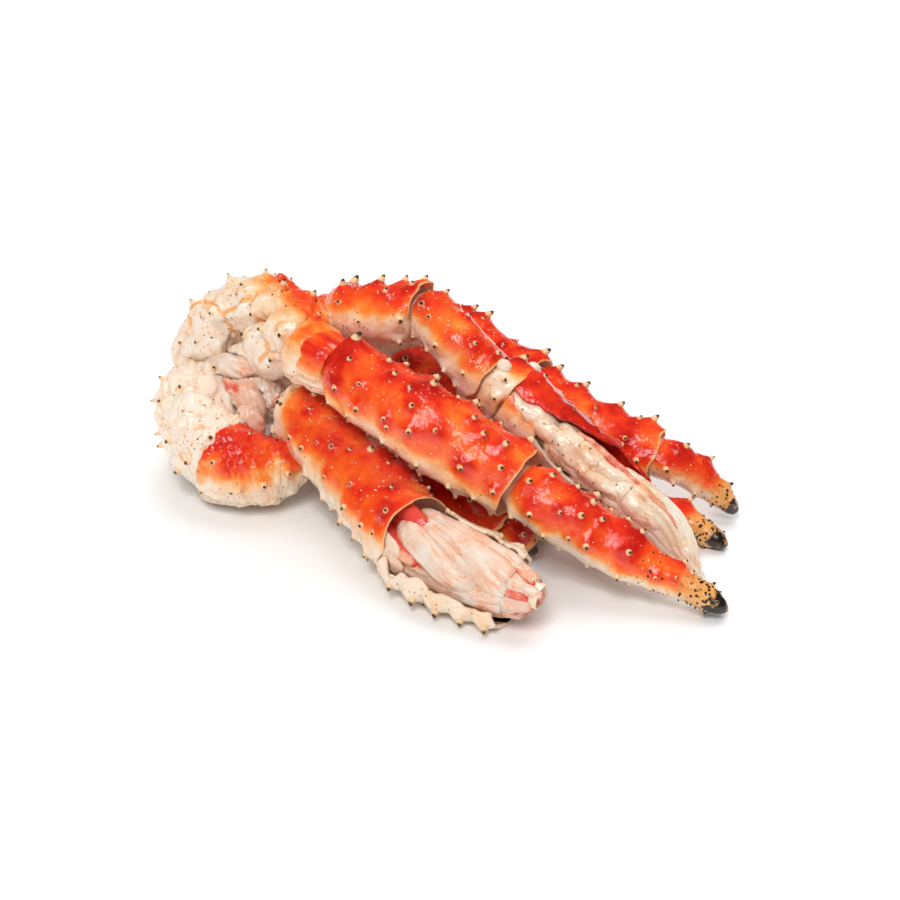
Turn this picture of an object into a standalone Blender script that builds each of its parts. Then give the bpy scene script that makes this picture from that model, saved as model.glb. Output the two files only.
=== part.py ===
"""King crab leg cluster: a shoulder with its flesh, and the legs that leave it.

Built in metres, +Z up.  The legs run along +X, the cluster lies on the plane
z = 0, and its origin is the middle of the bottom of its box.  Each leg is one
smooth centreline that is parted into its segments by planes square to it.
Legs are lettered: a lies on the floor in front, b crosses the middle, c and d
stand up at the back, e lies behind them, and f and g lie between.
"""
import math

import bmesh
import bpy
from mathutils import Matrix, Vector

MM = 0.001

# Driving dimensions, in millimetres.
SIDES = 12              # facets round a leg
STATION = 9.5           # spacing of the rings along a leg
GAP = 0.4               # parting between the segments of a leg
ROOM = 0.46             # how far a piece is cut back from a neighbour that it leans on
SHELL = 2.2             # thickness of the shell where it is open
SPINE = 4.6             # height of a usual spine
SPINE_FOOT = 2.0        # how far a spine's foot keeps from its facet's edges
SPINE_ROOM = 1.2        # least space between a spine's tip and a neighbour
SLENDER = 5.0           # a stretch thinner than this bears no spines
LUMP = 0.035            # unevenness of a leg, as a share of its radius
DOME_LUMP = 0.07        # the same, of the shoulder
STRAND_LUMP = 0.06      # the same, of the loose meat of leg c
CREASE = 50             # edges sharper than this, in degrees, stay sharp

# Openings in the shells.  Angles go round a leg in degrees, with 0 uppermost.
BORE_START = 14         # how far from its start leg a's shell begins to be hollow
TRAY_LENGTH = 60        # length of the tray of shell under leg a's meat
TRAY_FROM = 92
TRAY_TO = 272
SHELL_C_FROM = 105
SHELL_C_TO = 352
GUTTER_FACET = 27       # facet of an open shell
STEP_IN = 0.5           # length over which meat changes girth where it leaves its shell
BLUNT = 0.2             # how far short of its point meat is cut off

# Centrelines: (x, y, z, radius) where a segment changes its line or girth.
DOME = [(-157, -18, 52, 17), (-150, -13, 60, 21), (-130, -8, 68, 25.5), (-106, -11, 73, 22.5),
        (-84, -17, 75, 17.5)]
HIP_B_1 = [(-84, -17, 75, 17), (-70, -19, 75, 15.5)]
HIP_B_2 = [(-70, -19, 75, 15.2), (-57, -19, 74, 13.5)]
MERUS_B = [(-57, -19, 74, 13), (-38, -18, 70.5, 17.5), (-4, -13, 62, 19.3), (44, 1, 43.5, 16.6)]
DACTYL_B = [(44, 1, 43.5, 12.5), (63, 5.5, 36, 14.2), (87, 14, 25, 12.5), (134, 31, 9, 6.6),
            (147, 35, 4.5, 3.4)]

LOBE = [(-151, -28, 45, 17), (-138, -40, 35, 20.5), (-117, -53, 25, 22), (-100, -56, 22, 20.5)]
HIP_A_1 = [(-100, -56, 22, 20), (-89, -53, 20.5, 18.7)]
HIP_A_2 = [(-89, -53, 20.5, 18.5), (-81, -44, 18.5, 16.3)]
HIP_A_3 = [(-81, -44, 18.5, 16), (-77, -30, 14.5, 11.5)]

MERUS_A = [(-91, -22, 41, 14), (-60, -25, 35, 17.4), (-22, -32, 27, 19.6), (17, -41, 21, 20.3)]
MEAT_A = [(17, -41, 21, 17.6), (47, -41, 19, 17), (70, -37, 17, 15.2), (89, -32, 15.5, 9)]

HIP_C = [(-107, 16, 68, 12.5), (-91, 14, 78, 12)]
MERUS_C = [(-91, 14, 78, 12), (-78, 13, 84.5, 13.4), (-61, 18, 88.5, 14), (-47, 28, 91.5, 13.6)]
CARPUS_C = [(-47, 28, 91.5, 12), (-28, 26, 89, 13), (-13, 26, 81.5, 13.6), (-2, 27, 73, 13.4)]
COLLAR_C = [(-2, 27, 73, 12.5), (11, 32, 65.5, 15)]
SHELL_C = [(11, 32, 65.5, 15), (35, 37, 53, 15), (56, 40, 42, 14.5), (77, 45, 31, 13.5)]
MEAT_C_END = [(77, 45, 31, 11), (93, 51, 19, 10.6), (103, 52, 12, 8.5), (119, 48, 4, 2.6)]

HIP_D = [(-133, 30, 38, 14), (-115, 39, 48, 12.5)]
MERUS_D = [(-115, 39, 48, 12), (-95, 54, 56, 12.6), (-78, 70, 60, 12)]
CARPUS_D = [(-78, 70, 60, 11), (-54, 72, 55.5, 12), (-32, 74, 49.5, 11.8), (-17, 76, 44.5, 11.6)]
PROPODUS_D = [(-17, 76, 44.5, 11), (12, 75.5, 39, 12.4), (35, 78, 34.5, 12.4), (57, 85, 30, 12)]
DACTYL_D = [(57, 85, 30, 11), (69, 93, 25, 9.3), (83, 102, 13, 6.4), (93, 106, 3.6, 3)]

BACK = [(-146, 8, 34, 18), (-151, 25, 24.5, 21), (-149, 43, 17.5, 20), (-138, 57, 18.5, 17)]
HIP_E = [(-138, 57, 18.5, 16.5), (-122, 65, 22, 13.5)]
MERUS_E = [(-122, 65, 22, 13), (-85, 70, 23, 15.5), (-47, 69, 20, 15), (-11, 64, 17, 13)]
PROPODUS_E = [(-11, 64, 17, 11.5), (16, 61, 13, 12), (42, 62, 11, 11), (61, 68, 10, 9.5)]
DACTYL_E = [(61, 68, 10, 8.8), (76, 75, 8.4, 8.6), (94, 78, 6.2, 6.8), (109, 80, 3.4, 3.4)]

CARPUS_F = [(-98, 3, 27, 10.5), (-76, 6, 24, 12), (-57, 6, 23, 12)]
MERUS_F = [(-57, 6, 23, 11), (-23, 6, 21, 12.5), (9, 4, 18, 12), (33, 3, 15.5, 10.5)]
DACTYL_F = [(33, 3, 15.5, 9.3), (43, 5, 11, 7.4), (51, 8, 5, 3.6)]
PROPODUS_G = [(-23, 34, 10.5, 8.2), (8, 28, 10.8, 8.8), (30, 24, 10, 8.8), (47, 21.5, 8.8, 7.6)]

# Fleshy pieces in the shoulder's opening: centre, half sizes, heading and dip.
FLESH = {
    "flesh_flap": ((-124, -30, 54), (17, 7.5, 8.5), 20, 10),
    "flesh_bulb_upper": ((-104, -35, 44), (6.5, 6, 10), 20, 20),
    "flesh_bulb_lower": ((-99, -40, 37), (6.5, 5.5, 9), 30, 25),
    "petal_upper": ((-145, -30, 58), (14, 6, 7), 10, 25),
    "petal_side": ((-119, -24, 62), (11, 4.5, 5), 15, 20),
    "flesh_core": ((-116, -26, 40), (22, 16, 16), 20, 10),
}
FLESH_SIDES = 10
FLESH_RINGS = 6
FLESH_LUMP = 0.06       # unevenness of the fleshy pieces, as a share of their size

ORIGIN = "cluster"      # the empty that puts the bottom middle of the whole at the origin

# Shell colours: where a piece is mostly red, mostly cream, or bare meat.
RED = (0.72, 0.07, 0.02, 1)
DARK_RED = (0.40, 0.02, 0.015, 1)
CREAM = (0.80, 0.58, 0.36, 1)
MEAT = (0.86, 0.72, 0.60, 1)
PINK = (0.75, 0.38, 0.30, 1)


def clear_scene():
    for obj in list(bpy.data.objects):
        bpy.data.objects.remove(obj, do_unlink=True)


def material(name, colour, roughness):
    """A plain Principled material for one piece."""
    made = bpy.data.materials.new(name)
    made.use_nodes = True
    shader = made.node_tree.nodes["Principled BSDF"]
    shader.inputs["Base Color"].default_value = colour
    shader.inputs["Roughness"].default_value = roughness
    shader.inputs["Metallic"].default_value = 0.0
    made.diffuse_color = colour
    return made


def unit_noise(*numbers):
    """A repeatable value from 0 to 1 that belongs to these numbers."""
    total = math.sin(sum(n * k for n, k in zip(numbers, (12.9898, 78.233, 37.719)))) * 43758.5453
    return total - math.floor(total)


def catmull(points, t):
    """A point at parameter t on the Catmull-Rom curve through the points."""
    count = len(points) - 1
    index = min(int(t), count - 1)
    u = t - index
    p1 = points[index]
    p2 = points[index + 1]
    p0 = points[index - 1] if index > 0 else 2 * p1 - p2
    p3 = points[index + 2] if index + 2 <= count else 2 * p2 - p1
    return 0.5 * (2 * p1 + (p2 - p0) * u + (2 * p0 - 5 * p1 + 4 * p2 - p3) * u * u
                  + (3 * p1 - p0 - 3 * p2 + p3) * u * u * u)


class Line:
    """A leg's centreline: all its segments' points as one smooth curve."""

    FINE = 24

    def __init__(self, segments):
        points = [Vector(segments[0][0][:3])]
        self.breaks = [0]
        for segment in segments:
            points += [Vector(p[:3]) for p in segment[1:]]
            self.breaks.append(len(points) - 1)
        steps = (len(points) - 1) * self.FINE
        self.places = [catmull(points, k / self.FINE) for k in range(steps + 1)]
        self.lengths = [0.0]
        for a, b in zip(self.places, self.places[1:]):
            self.lengths.append(self.lengths[-1] + (b - a).length)

    def reach(self, number):
        """Where segment number starts and ends, as lengths along the line."""
        first, last = self.breaks[number], self.breaks[number + 1]
        return self.lengths[first * self.FINE], self.lengths[last * self.FINE]

    def at(self, length):
        """The place and direction at a length along the line."""
        k = 0
        while k < len(self.lengths) - 2 and self.lengths[k + 1] < length:
            k += 1
        share = (length - self.lengths[k]) / (self.lengths[k + 1] - self.lengths[k])
        place = self.places[k].lerp(self.places[k + 1], share)
        return place, self.heading(k).lerp(self.heading(k + 1), share).normalized()

    def heading(self, k):
        """The direction of the line at its fine point number k."""
        before = self.places[max(k - 1, 0)]
        after = self.places[min(k + 1, len(self.places) - 1)]
        return (after - before).normalized()


def girth(segment, share):
    """The radius at a share of a segment's length, eased between its points."""
    points = [Vector(p[:3]) for p in segment]
    lengths = [0.0]
    for a, b in zip(points, points[1:]):
        lengths.append(lengths[-1] + (b - a).length)
    target = share * lengths[-1]
    for k in range(len(points) - 1):
        if target <= lengths[k + 1] or k == len(points) - 2:
            u = (target - lengths[k]) / (lengths[k + 1] - lengths[k])
            u = min(max(u, 0.0), 1.0)
            u = u * u * (3 - 2 * u)
            return segment[k][3] + (segment[k + 1][3] - segment[k][3]) * u


def around(place, direction, radius, angle):
    """A point on the ring square to the direction; angle 0 is uppermost."""
    side = direction.cross(Vector((0, 0, 1))).normalized()
    top = side.cross(direction)
    return place + (top * math.cos(angle) + side * math.sin(angle)) * radius


def tube(mesh, rings, close_start=True, close_end=True):
    """Skin the rings with quads, and close the ends with a flat fan."""
    rows = [[mesh.verts.new(p) for p in ring] for ring in rings]
    count = len(rows[0])
    for a, b in zip(rows, rows[1:]):
        for j in range(count):
            k = (j + 1) % count
            mesh.faces.new((a[j], b[j], b[k], a[k]))
    if close_start:
        mesh.faces.new(rows[0])
    if close_end:
        mesh.faces.new(list(reversed(rows[-1])))
    return rows


def finish(name, mesh, look, cutters=()):
    """Rest the piece on z = 0, cut its neighbours out of it, and name it."""
    bmesh.ops.recalc_face_normals(mesh, faces=mesh.faces)
    lowest = min(v.co.z for v in mesh.verts)
    if lowest < 0:
        every = mesh.verts[:] + mesh.edges[:] + mesh.faces[:]
        cut = bmesh.ops.bisect_plane(mesh, geom=every, plane_co=(0, 0, 0), plane_no=(0, 0, 1),
                                     clear_inner=True)
        rim = [e for e in cut["geom_cut"] if isinstance(e, bmesh.types.BMEdge)]
        bmesh.ops.holes_fill(mesh, edges=rim, sides=0)
        bmesh.ops.recalc_face_normals(mesh, faces=mesh.faces)
    bmesh.ops.triangulate(mesh, faces=mesh.faces)
    bmesh.ops.scale(mesh, vec=(MM, MM, MM), verts=mesh.verts)
    data = bpy.data.meshes.new(name)
    mesh.to_mesh(data)
    mesh.free()
    data.shade_smooth()
    data.set_sharp_from_angle(angle=math.radians(CREASE))
    piece = bpy.data.objects.new(name, data)
    bpy.context.collection.objects.link(piece)
    data.materials.append(look)
    piece.parent = bpy.data.objects[ORIGIN]
    for neighbour in cutters:
        cut = piece.modifiers.new("Clear of " + neighbour.name, "BOOLEAN")
        cut.operation = "DIFFERENCE"
        cut.solver = "EXACT"
        cut.object = grown(neighbour)
    return piece


def grown(piece):
    """A hidden copy of a piece, larger by the gap, that cuts its neighbours."""
    name = "room_round_" + piece.name
    if name in bpy.data.objects:
        return bpy.data.objects[name]
    mesh = bmesh.new()
    mesh.from_mesh(piece.data)
    mesh.normal_update()
    moves = [v.normal * ROOM * MM for v in mesh.verts]
    for vert, move in zip(mesh.verts, moves):
        vert.co += move
    data = bpy.data.meshes.new(name)
    mesh.to_mesh(data)
    mesh.free()
    cutter = bpy.data.objects.new(name, data)
    bpy.context.collection.objects.link(cutter)
    cutter.parent = bpy.data.objects[ORIGIN]
    cutter.hide_render = True
    cutter.display_type = "WIRE"
    return cutter


class Piece:
    """One segment of a leg: its stretch of the centreline, and its girth."""

    def __init__(self, name, line, number, segment, look, lump=LUMP, round_start=0.0, round_end=0.0):
        self.name = name
        self.line = line
        self.segment = segment
        self.look = look
        self.lump = lump
        self.round_start = round_start      # share of the radius that the end is rounded over
        self.round_end = round_end
        self.seed = sum(ord(letter) for letter in name) * 0.37
        start, end = line.reach(number)
        self.start = start + GAP / 2
        self.end = end - GAP / 2

    def radius(self, length, angle, inset=0.0):
        """The radius of the piece at a length and an angle."""
        share = (length - self.start) / (self.end - self.start)
        size = girth(self.segment, min(max(share, 0.0), 1.0))
        wave = math.sin(2 * angle + length / 13 + self.seed)
        wave += 0.6 * math.sin(3 * angle - length / 9 + 2 * self.seed)
        full = size * (1 + self.lump * wave) - inset
        for bluntness, away in ((self.round_start, length - self.start),
                                (self.round_end, self.end - length)):
            reach = bluntness * size
            if bluntness and away < reach:
                full *= math.sqrt(max(1 - (1 - away / reach) ** 2, 0.0))
        return full

    def stations(self):
        """The lengths of the rings: even, with a few more over a rounded end."""
        steps = max(2, round((self.end - self.start) / STATION))
        even = [self.start + (self.end - self.start) * k / steps for k in range(steps + 1)]
        round_off = (0.03, 0.2, 0.55)
        if self.round_start:
            reach = self.round_start * girth(self.segment, 0)
            even = [self.start + reach * share for share in round_off] + \
                   [length for length in even if length > self.start + reach * 0.8]
        if self.round_end:
            reach = self.round_end * girth(self.segment, 1)
            even = [length for length in even if length < self.end - reach * 0.8] + \
                   [self.end - reach * share for share in reversed(round_off)]
        return even

    def ring(self, length, inset=0.0, angles=None):
        """The points of a ring; both rings at a parting share the parting's plane."""
        place, direction = self.line.at(length)
        if length <= self.start:
            direction = self.line.at(self.start - GAP / 2)[1]
        if length >= self.end:
            direction = self.line.at(self.end + GAP / 2)[1]
        if angles is None:
            angles = [2 * math.pi * j / SIDES for j in range(SIDES)]
        return [around(place, direction, self.radius(length, a, inset), a) for a in angles]

    def capsules(self):
        """Places along the piece with its girth there, to keep spines clear of."""
        out = []
        for k in range(17):
            length = self.start + (self.end - self.start) * k / 16
            out.append((self.line.at(length)[0], self.radius(length, 0.0)))
        return out


def has_room(tip, own, pieces):
    """True if a spine's tip is clear of every other piece."""
    for piece in pieces:
        if piece is own:
            continue
        for place, radius in piece.room:
            if (tip - place).length < radius + SPINE_ROOM:
                return False
    return True


def raise_spines(mesh, rows, piece, pieces, spacing, low_angle=180, closed=True):
    """Draw a spine up from the middle of every few facets.

    spacing is the number of rings from one spine to the next in a row, and
    low_angle how far down the sides the rows go, in degrees.
    """
    sides = len(rows[0])
    for i in range(1, len(rows) - 2):
        for j in range(sides if closed else sides - 1):
            angle = (j + 0.5) * 360 / sides
            if (i + 2 * j) % spacing or min(angle, 360 - angle) > low_angle:
                continue
            k = (j + 1) % sides
            corners = (rows[i][j], rows[i + 1][j], rows[i + 1][k], rows[i][k])
            face = next(f for f in corners[0].link_faces if all(c in f.verts for c in corners))
            face.normal_update()
            middle = face.calc_center_median()
            across = (corners[0].co - corners[3].co).length
            height = SPINE * (0.75 + 0.5 * unit_noise(i, j, piece.seed))
            tip = middle + face.normal * height
            if across < SLENDER or tip.z < 0.5 or not has_room(tip, piece, pieces):
                continue
            bmesh.ops.inset_individual(mesh, faces=[face], thickness=min(SPINE_FOOT, 0.3 * across))
            fan = bmesh.ops.poke(mesh, faces=[face], offset=0.0)
            fan["verts"][0].co = tip


def segment_solid(piece, pieces, spacing=0, low_angle=120, cutters=()):
    """A whole segment of a leg, with its spines."""
    mesh = bmesh.new()
    rows = tube(mesh, [piece.ring(length) for length in piece.stations()])
    bmesh.ops.recalc_face_normals(mesh, faces=mesh.faces)
    if spacing:
        raise_spines(mesh, rows, piece, pieces, spacing, low_angle)
    return finish(piece.name, mesh, piece.look, cutters)


def sleeve_solid(piece, pieces, floor_of_bore, spacing, low_angle):
    """A segment that is open at its far end, down to a length from its start."""
    mesh = bmesh.new()
    stations = piece.stations()
    inner = [length for length in stations if length > piece.start + floor_of_bore]
    rings = [piece.ring(length) for length in stations]
    rings += [piece.ring(length, SHELL) for length in reversed(inner)]
    rows = tube(mesh, rings)
    bmesh.ops.recalc_face_normals(mesh, faces=mesh.faces)
    raise_spines(mesh, rows[:len(stations)], piece, pieces, spacing, low_angle)
    return finish(piece.name, mesh, piece.look)


def meat_solid(name, look, parts, cutters=()):
    """Meat that runs through several stretches: (piece, from, to, inset) each."""
    mesh = bmesh.new()
    rings = []
    for piece, start, end, inset in parts:
        lengths = [length for length in piece.stations() if start < length < end]
        for length in [start] + lengths + [end]:
            rings.append(piece.ring(length, inset))
    tube(mesh, rings)
    return finish(name, mesh, look, cutters)


def gutter_solid(name, look, piece, pieces, first_angle, last_angle, end, spacing, inset=0.0):
    """A shell that is open on one side: it spans from the first to the last angle."""
    mesh = bmesh.new()
    steps = round((last_angle - first_angle) / GUTTER_FACET)
    angles = [math.radians(first_angle + (last_angle - first_angle) * k / steps) for k in range(steps + 1)]
    lengths = [length for length in piece.stations() if length < end - 2] + [end]
    rows = []
    for length in lengths:
        outer = piece.ring(length, inset, angles)
        inner = piece.ring(length, inset + SHELL, list(reversed(angles)))
        rows.append([mesh.verts.new(p) for p in outer + inner])
    count = len(rows[0])
    for a, b in zip(rows, rows[1:]):
        for j in range(count):
            k = (j + 1) % count
            mesh.faces.new((a[j], b[j], b[k], a[k]))
    for row in (rows[0], rows[-1]):
        for j in range(steps):
            mesh.faces.new((row[j], row[j + 1], row[count - 2 - j], row[count - 1 - j]))
    bmesh.ops.recalc_face_normals(mesh, faces=mesh.faces)
    outside = [row[:steps + 1] for row in rows]
    raise_spines(mesh, outside, piece, pieces, spacing, closed=False)
    return finish(name, mesh, look)


def flesh_solid(name, look, cutters):
    """A soft rounded piece of the flesh in the shoulder's opening."""
    centre, half, heading, dip = FLESH[name]
    mesh = bmesh.new()
    bmesh.ops.create_uvsphere(mesh, u_segments=FLESH_SIDES, v_segments=FLESH_RINGS, radius=1.0)
    seed = len(name)
    for vert in mesh.verts:
        x, y, z = vert.co
        vert.co *= 1 + FLESH_LUMP * math.sin(3 * x + 2 * y + seed) * math.cos(2 * z + seed)
    turn = Matrix.Rotation(math.radians(heading), 4, "Z") @ Matrix.Rotation(math.radians(-dip), 4, "Y")
    place = Matrix.Translation(centre) @ turn @ Matrix.Diagonal((*half, 1))
    bmesh.ops.transform(mesh, matrix=place, verts=mesh.verts)
    return finish(name, mesh, look, cutters)


def part_at(pieces_to_part, first, second):
    """Part two lumps of the shoulder along the plane midway between two points."""
    a, b = Vector(first), Vector(second)
    normal = (b - a).normalized()
    middle = (a + b) / 2
    for piece, side in zip(pieces_to_part, (-1, 1)):
        mesh = bmesh.new()
        mesh.from_mesh(piece.data)
        plane = (middle + normal * side * GAP / 2) * MM
        every = mesh.verts[:] + mesh.edges[:] + mesh.faces[:]
        cut = bmesh.ops.bisect_plane(mesh, geom=every, plane_co=plane, plane_no=normal * -side,
                                     clear_outer=True)
        rim = [e for e in cut["geom_cut"] if isinstance(e, bmesh.types.BMEdge)]
        bmesh.ops.holes_fill(mesh, edges=rim, sides=0)
        bmesh.ops.recalc_face_normals(mesh, faces=mesh.faces)
        bmesh.ops.triangulate(mesh, faces=mesh.faces)
        mesh.to_mesh(piece.data)
        mesh.free()
        piece.data.shade_smooth()
        piece.data.set_sharp_from_angle(angle=math.radians(CREASE))


def leg(names, segments, looks, **options):
    """The pieces of one leg, on one centreline."""
    line = Line(segments)
    made = {}
    for number, (name, segment, look) in enumerate(zip(names, segments, looks)):
        made[name] = Piece(name, line, number, segment, look, **options.get(name, {}))
    return made


def centre(pieces):
    """Move the empty so that the middle of the pieces' box is over the origin."""
    bpy.context.view_layer.update()
    corners = [vert.co for piece in pieces for vert in piece.data.vertices]
    for axis in (0, 1):
        low = min(corner[axis] for corner in corners)
        high = max(corner[axis] for corner in corners)
        bpy.data.objects[ORIGIN].location[axis] = -(low + high) / 2
    bpy.context.view_layer.update()


def build():
    clear_scene()
    bpy.context.collection.objects.link(bpy.data.objects.new(ORIGIN, None))
    red = material("shell_red", RED, 0.3)
    dark = material("shell_dark_red", DARK_RED, 0.3)
    cream = material("shell_cream", CREAM, 0.4)
    meat = material("meat_white", MEAT, 0.4)
    pink = material("meat_pink", PINK, 0.4)

    p = {}
    p.update(leg(("shoulder_dome", "hip_b_1", "hip_b_2", "b_merus", "b_dactyl"),
                 (DOME, HIP_B_1, HIP_B_2, MERUS_B, DACTYL_B), (cream, cream, cream, red, red),
                 shoulder_dome={"lump": DOME_LUMP, "round_start": 0.9}, b_dactyl={"round_end": 0.8}))
    p.update(leg(("shoulder_lobe", "hip_a_1", "hip_a_2", "hip_a_3"),
                 (LOBE, HIP_A_1, HIP_A_2, HIP_A_3), (cream, red, red, cream),
                 shoulder_lobe={"lump": DOME_LUMP, "round_start": 0.9}, hip_a_3={"round_end": 0.3}))
    p.update(leg(("a_merus", "a_meat_end"), (MERUS_A, MEAT_A), (red, meat),
                 a_merus={"round_start": 0.35}, a_meat_end={"round_end": 0.6}))
    p.update(leg(("hip_c", "c_merus", "c_carpus", "c_collar", "c_shell", "c_meat_end"),
                 (HIP_C, MERUS_C, CARPUS_C, COLLAR_C, SHELL_C, MEAT_C_END),
                 (cream, red, red, cream, cream, meat), c_meat_end={"round_end": 0.8, "lump": STRAND_LUMP}))
    p.update(leg(("hip_d", "d_merus", "d_carpus", "d_propodus", "d_dactyl"),
                 (HIP_D, MERUS_D, CARPUS_D, PROPODUS_D, DACTYL_D), (cream, red, red, red, red),
                 d_dactyl={"round_end": 0.8}))
    p.update(leg(("shoulder_back", "hip_e", "e_merus", "e_propodus", "e_dactyl"),
                 (BACK, HIP_E, MERUS_E, PROPODUS_E, DACTYL_E), (cream, cream, dark, dark, red),
                 shoulder_back={"lump": DOME_LUMP, "round_start": 0.9}, e_dactyl={"round_end": 0.8}))
    p.update(leg(("f_carpus", "f_merus", "f_dactyl"), (CARPUS_F, MERUS_F, DACTYL_F), (dark, dark, dark),
                 f_carpus={"round_start": 0.4}, f_dactyl={"round_end": 0.8}))
    p.update(leg(("g_propodus",), (PROPODUS_G,), (cream,), g_propodus={"round_start": 0.6, "round_end": 0.6}))
    for piece in p.values():
        piece.room = piece.capsules()
    others = list(p.values())

    made = {}

    def whole(name, **options):
        made[name] = segment_solid(p[name], others, **options)

    whole("shoulder_dome", spacing=4, low_angle=75)
    whole("shoulder_lobe", spacing=4, low_angle=130)
    part_at((made["shoulder_dome"], made["shoulder_lobe"]), DOME[0][:3], LOBE[0][:3])
    whole("shoulder_back", spacing=4, low_angle=100, cutters=(made["shoulder_dome"], made["shoulder_lobe"]))
    for name in ("hip_b_1", "hip_b_2", "hip_a_1", "hip_e"):
        whole(name)
    made["a_merus"] = sleeve_solid(p["a_merus"], others, BORE_START, 4, 150)
    whole("hip_a_2", cutters=(made["a_merus"],))
    whole("hip_a_3", cutters=(made["a_merus"],))
    whole("hip_c", cutters=(made["shoulder_dome"], made["hip_b_1"]))
    whole("c_merus", spacing=3, cutters=(made["shoulder_dome"],))
    whole("hip_d", cutters=(made["shoulder_back"], made["shoulder_dome"]))
    merus = p["a_merus"]
    tip = p["a_meat_end"]
    made["a_meat"] = meat_solid("a_meat", meat,
                                ((merus, merus.start + BORE_START + STATION, merus.end, SHELL + 2 * GAP),
                                 (tip, tip.start + STEP_IN, tip.end - BLUNT, GAP)))
    made["a_tray"] = gutter_solid("a_tray", cream, tip, others, TRAY_FROM, TRAY_TO,
                                  tip.start + TRAY_LENGTH, 4, -SHELL - GAP)
    for name, spacing in (("b_merus", 4), ("b_dactyl", 4), ("c_carpus", 3), ("d_merus", 6),
                          ("d_carpus", 4), ("d_propodus", 4), ("d_dactyl", 4), ("e_merus", 6),
                          ("e_propodus", 6), ("e_dactyl", 5), ("f_carpus", 0), ("f_merus", 6),
                          ("f_dactyl", 0), ("g_propodus", 0), ("c_collar", 0)):
        whole(name, spacing=spacing)
    shell = p["c_shell"]
    made["c_shell"] = gutter_solid("c_shell", cream, shell, others, SHELL_C_FROM, SHELL_C_TO, shell.end, 4)
    shoulder = (made["shoulder_dome"], made["shoulder_lobe"])
    legs_near = (made["a_merus"], made["hip_a_1"], made["hip_a_2"])
    made["flesh_flap"] = flesh_solid("flesh_flap", meat, shoulder)
    made["flesh_bulb_upper"] = flesh_solid("flesh_bulb_upper", pink, shoulder + legs_near)
    near_bulb = legs_near + (made["flesh_bulb_upper"], made["hip_a_3"])
    made["flesh_bulb_lower"] = flesh_solid("flesh_bulb_lower", pink, shoulder + near_bulb)
    made["petal_upper"] = flesh_solid("petal_upper", cream, shoulder + (made["flesh_flap"],))
    near_petal = (made["shoulder_dome"], made["flesh_flap"], made["petal_upper"])
    made["petal_side"] = flesh_solid("petal_side", cream, near_petal)
    in_front = tuple(made[name] for name in FLESH if name in made)
    round_core = shoulder + legs_near + in_front + (made["f_carpus"],)
    made["flesh_core"] = flesh_solid("flesh_core", meat, round_core)
    strand = p["c_meat_end"]
    made["c_meat"] = meat_solid("c_meat", meat,
                                ((shell, shell.start, shell.end, SHELL + 2 * GAP),
                                 (strand, strand.start + STEP_IN, strand.end - BLUNT, 0)))
    centre(made.values())
    return made


build()
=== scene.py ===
"""King crab leg cluster: its shells, spines, meat and flesh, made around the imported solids.

Every leg is read back from its CAD pieces: rays sent in at each solid give the line that
runs through the leg and its girth all round.  The shells are then lofted along that line,
with necks, flared rims and a mound under every spine.
"""
import math

import bmesh
import bpy
import numpy as np
from mathutils import Matrix, Vector
from mathutils.bvhtree import BVHTree


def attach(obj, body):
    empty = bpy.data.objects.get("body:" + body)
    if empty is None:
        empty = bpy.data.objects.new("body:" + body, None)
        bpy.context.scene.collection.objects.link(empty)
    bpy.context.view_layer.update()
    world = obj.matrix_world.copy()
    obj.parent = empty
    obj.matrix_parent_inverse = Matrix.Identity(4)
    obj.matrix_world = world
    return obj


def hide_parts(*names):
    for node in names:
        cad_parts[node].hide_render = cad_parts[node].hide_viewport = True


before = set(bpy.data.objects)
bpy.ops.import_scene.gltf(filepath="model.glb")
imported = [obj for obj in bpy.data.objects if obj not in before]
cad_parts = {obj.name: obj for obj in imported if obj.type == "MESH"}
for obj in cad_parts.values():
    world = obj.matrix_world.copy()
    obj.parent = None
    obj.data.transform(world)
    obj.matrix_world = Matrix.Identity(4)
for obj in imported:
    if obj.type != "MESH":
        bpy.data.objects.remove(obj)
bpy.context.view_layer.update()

MM = 0.001
TURN = 2 * math.pi
WELD = 0.001 * MM           # CAD vertices nearer than this are one
REACH = 60 * MM             # rays start this far out from a leg's line
SLAB = 12 * MM              # a leg's first line has a point for each slab this thick
STEP = 1.5 * MM             # spacing of the girths read along a leg
RAYS = 24                   # rays round a leg when its line is centred
READ_ANGLES = 36            # rays round a leg at each girth
WAVES = 4                   # waves round a leg that its girth keeps
FACETS = 1.011              # how much a round girth is wider than the CAD's facets
LONGER = 20 * MM            # a leg's line goes on this far past its solids
SPINE_MIN = 2.5 * MM        # a CAD point that stands up more than this is a spine
SPINE_FOOT = 6.5 * MM       # and its foot is narrower than this
RIPPLES = 7                 # waves that cross in a ripple
PITCH = 0.62 * MM           # spacing of the points of a shell
NECK = 8 * MM               # a shell's neck widens over this length
FLARE = 9 * MM              # and its rim flares over this one
EDGE = 12 * MM              # the rim is ragged and pale from this far in
CUFF = (2 * MM, 17 * MM)    # where a pale cuff at the neck fades
DRIFT = 3 * MM              # how uneven the end of that cuff is
SAME = 4 * MM               # spines nearer than this are one
CLEAR = 8 * MM              # a small spine stays this far from every other
FLECK_AND_GLINT = 0.38 * MM           # radius of a pale dot, a tubercle that is also a painted glint
WALL = 1.8 * MM             # thickness of an open shell
MOUND = 0.50                # share of a spine's height that is a mound of the shell
SEAT = 0.12                 # share of a spine's height at which its horn starts, inside the mound
PIMPLES_AND_GLINTS = 30000.0           # pale dots on a square metre of red shell: tubercles, set this dense so that they also serve as painted glints


# ---------------------------------------------------------------- reading the CAD solids

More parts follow.
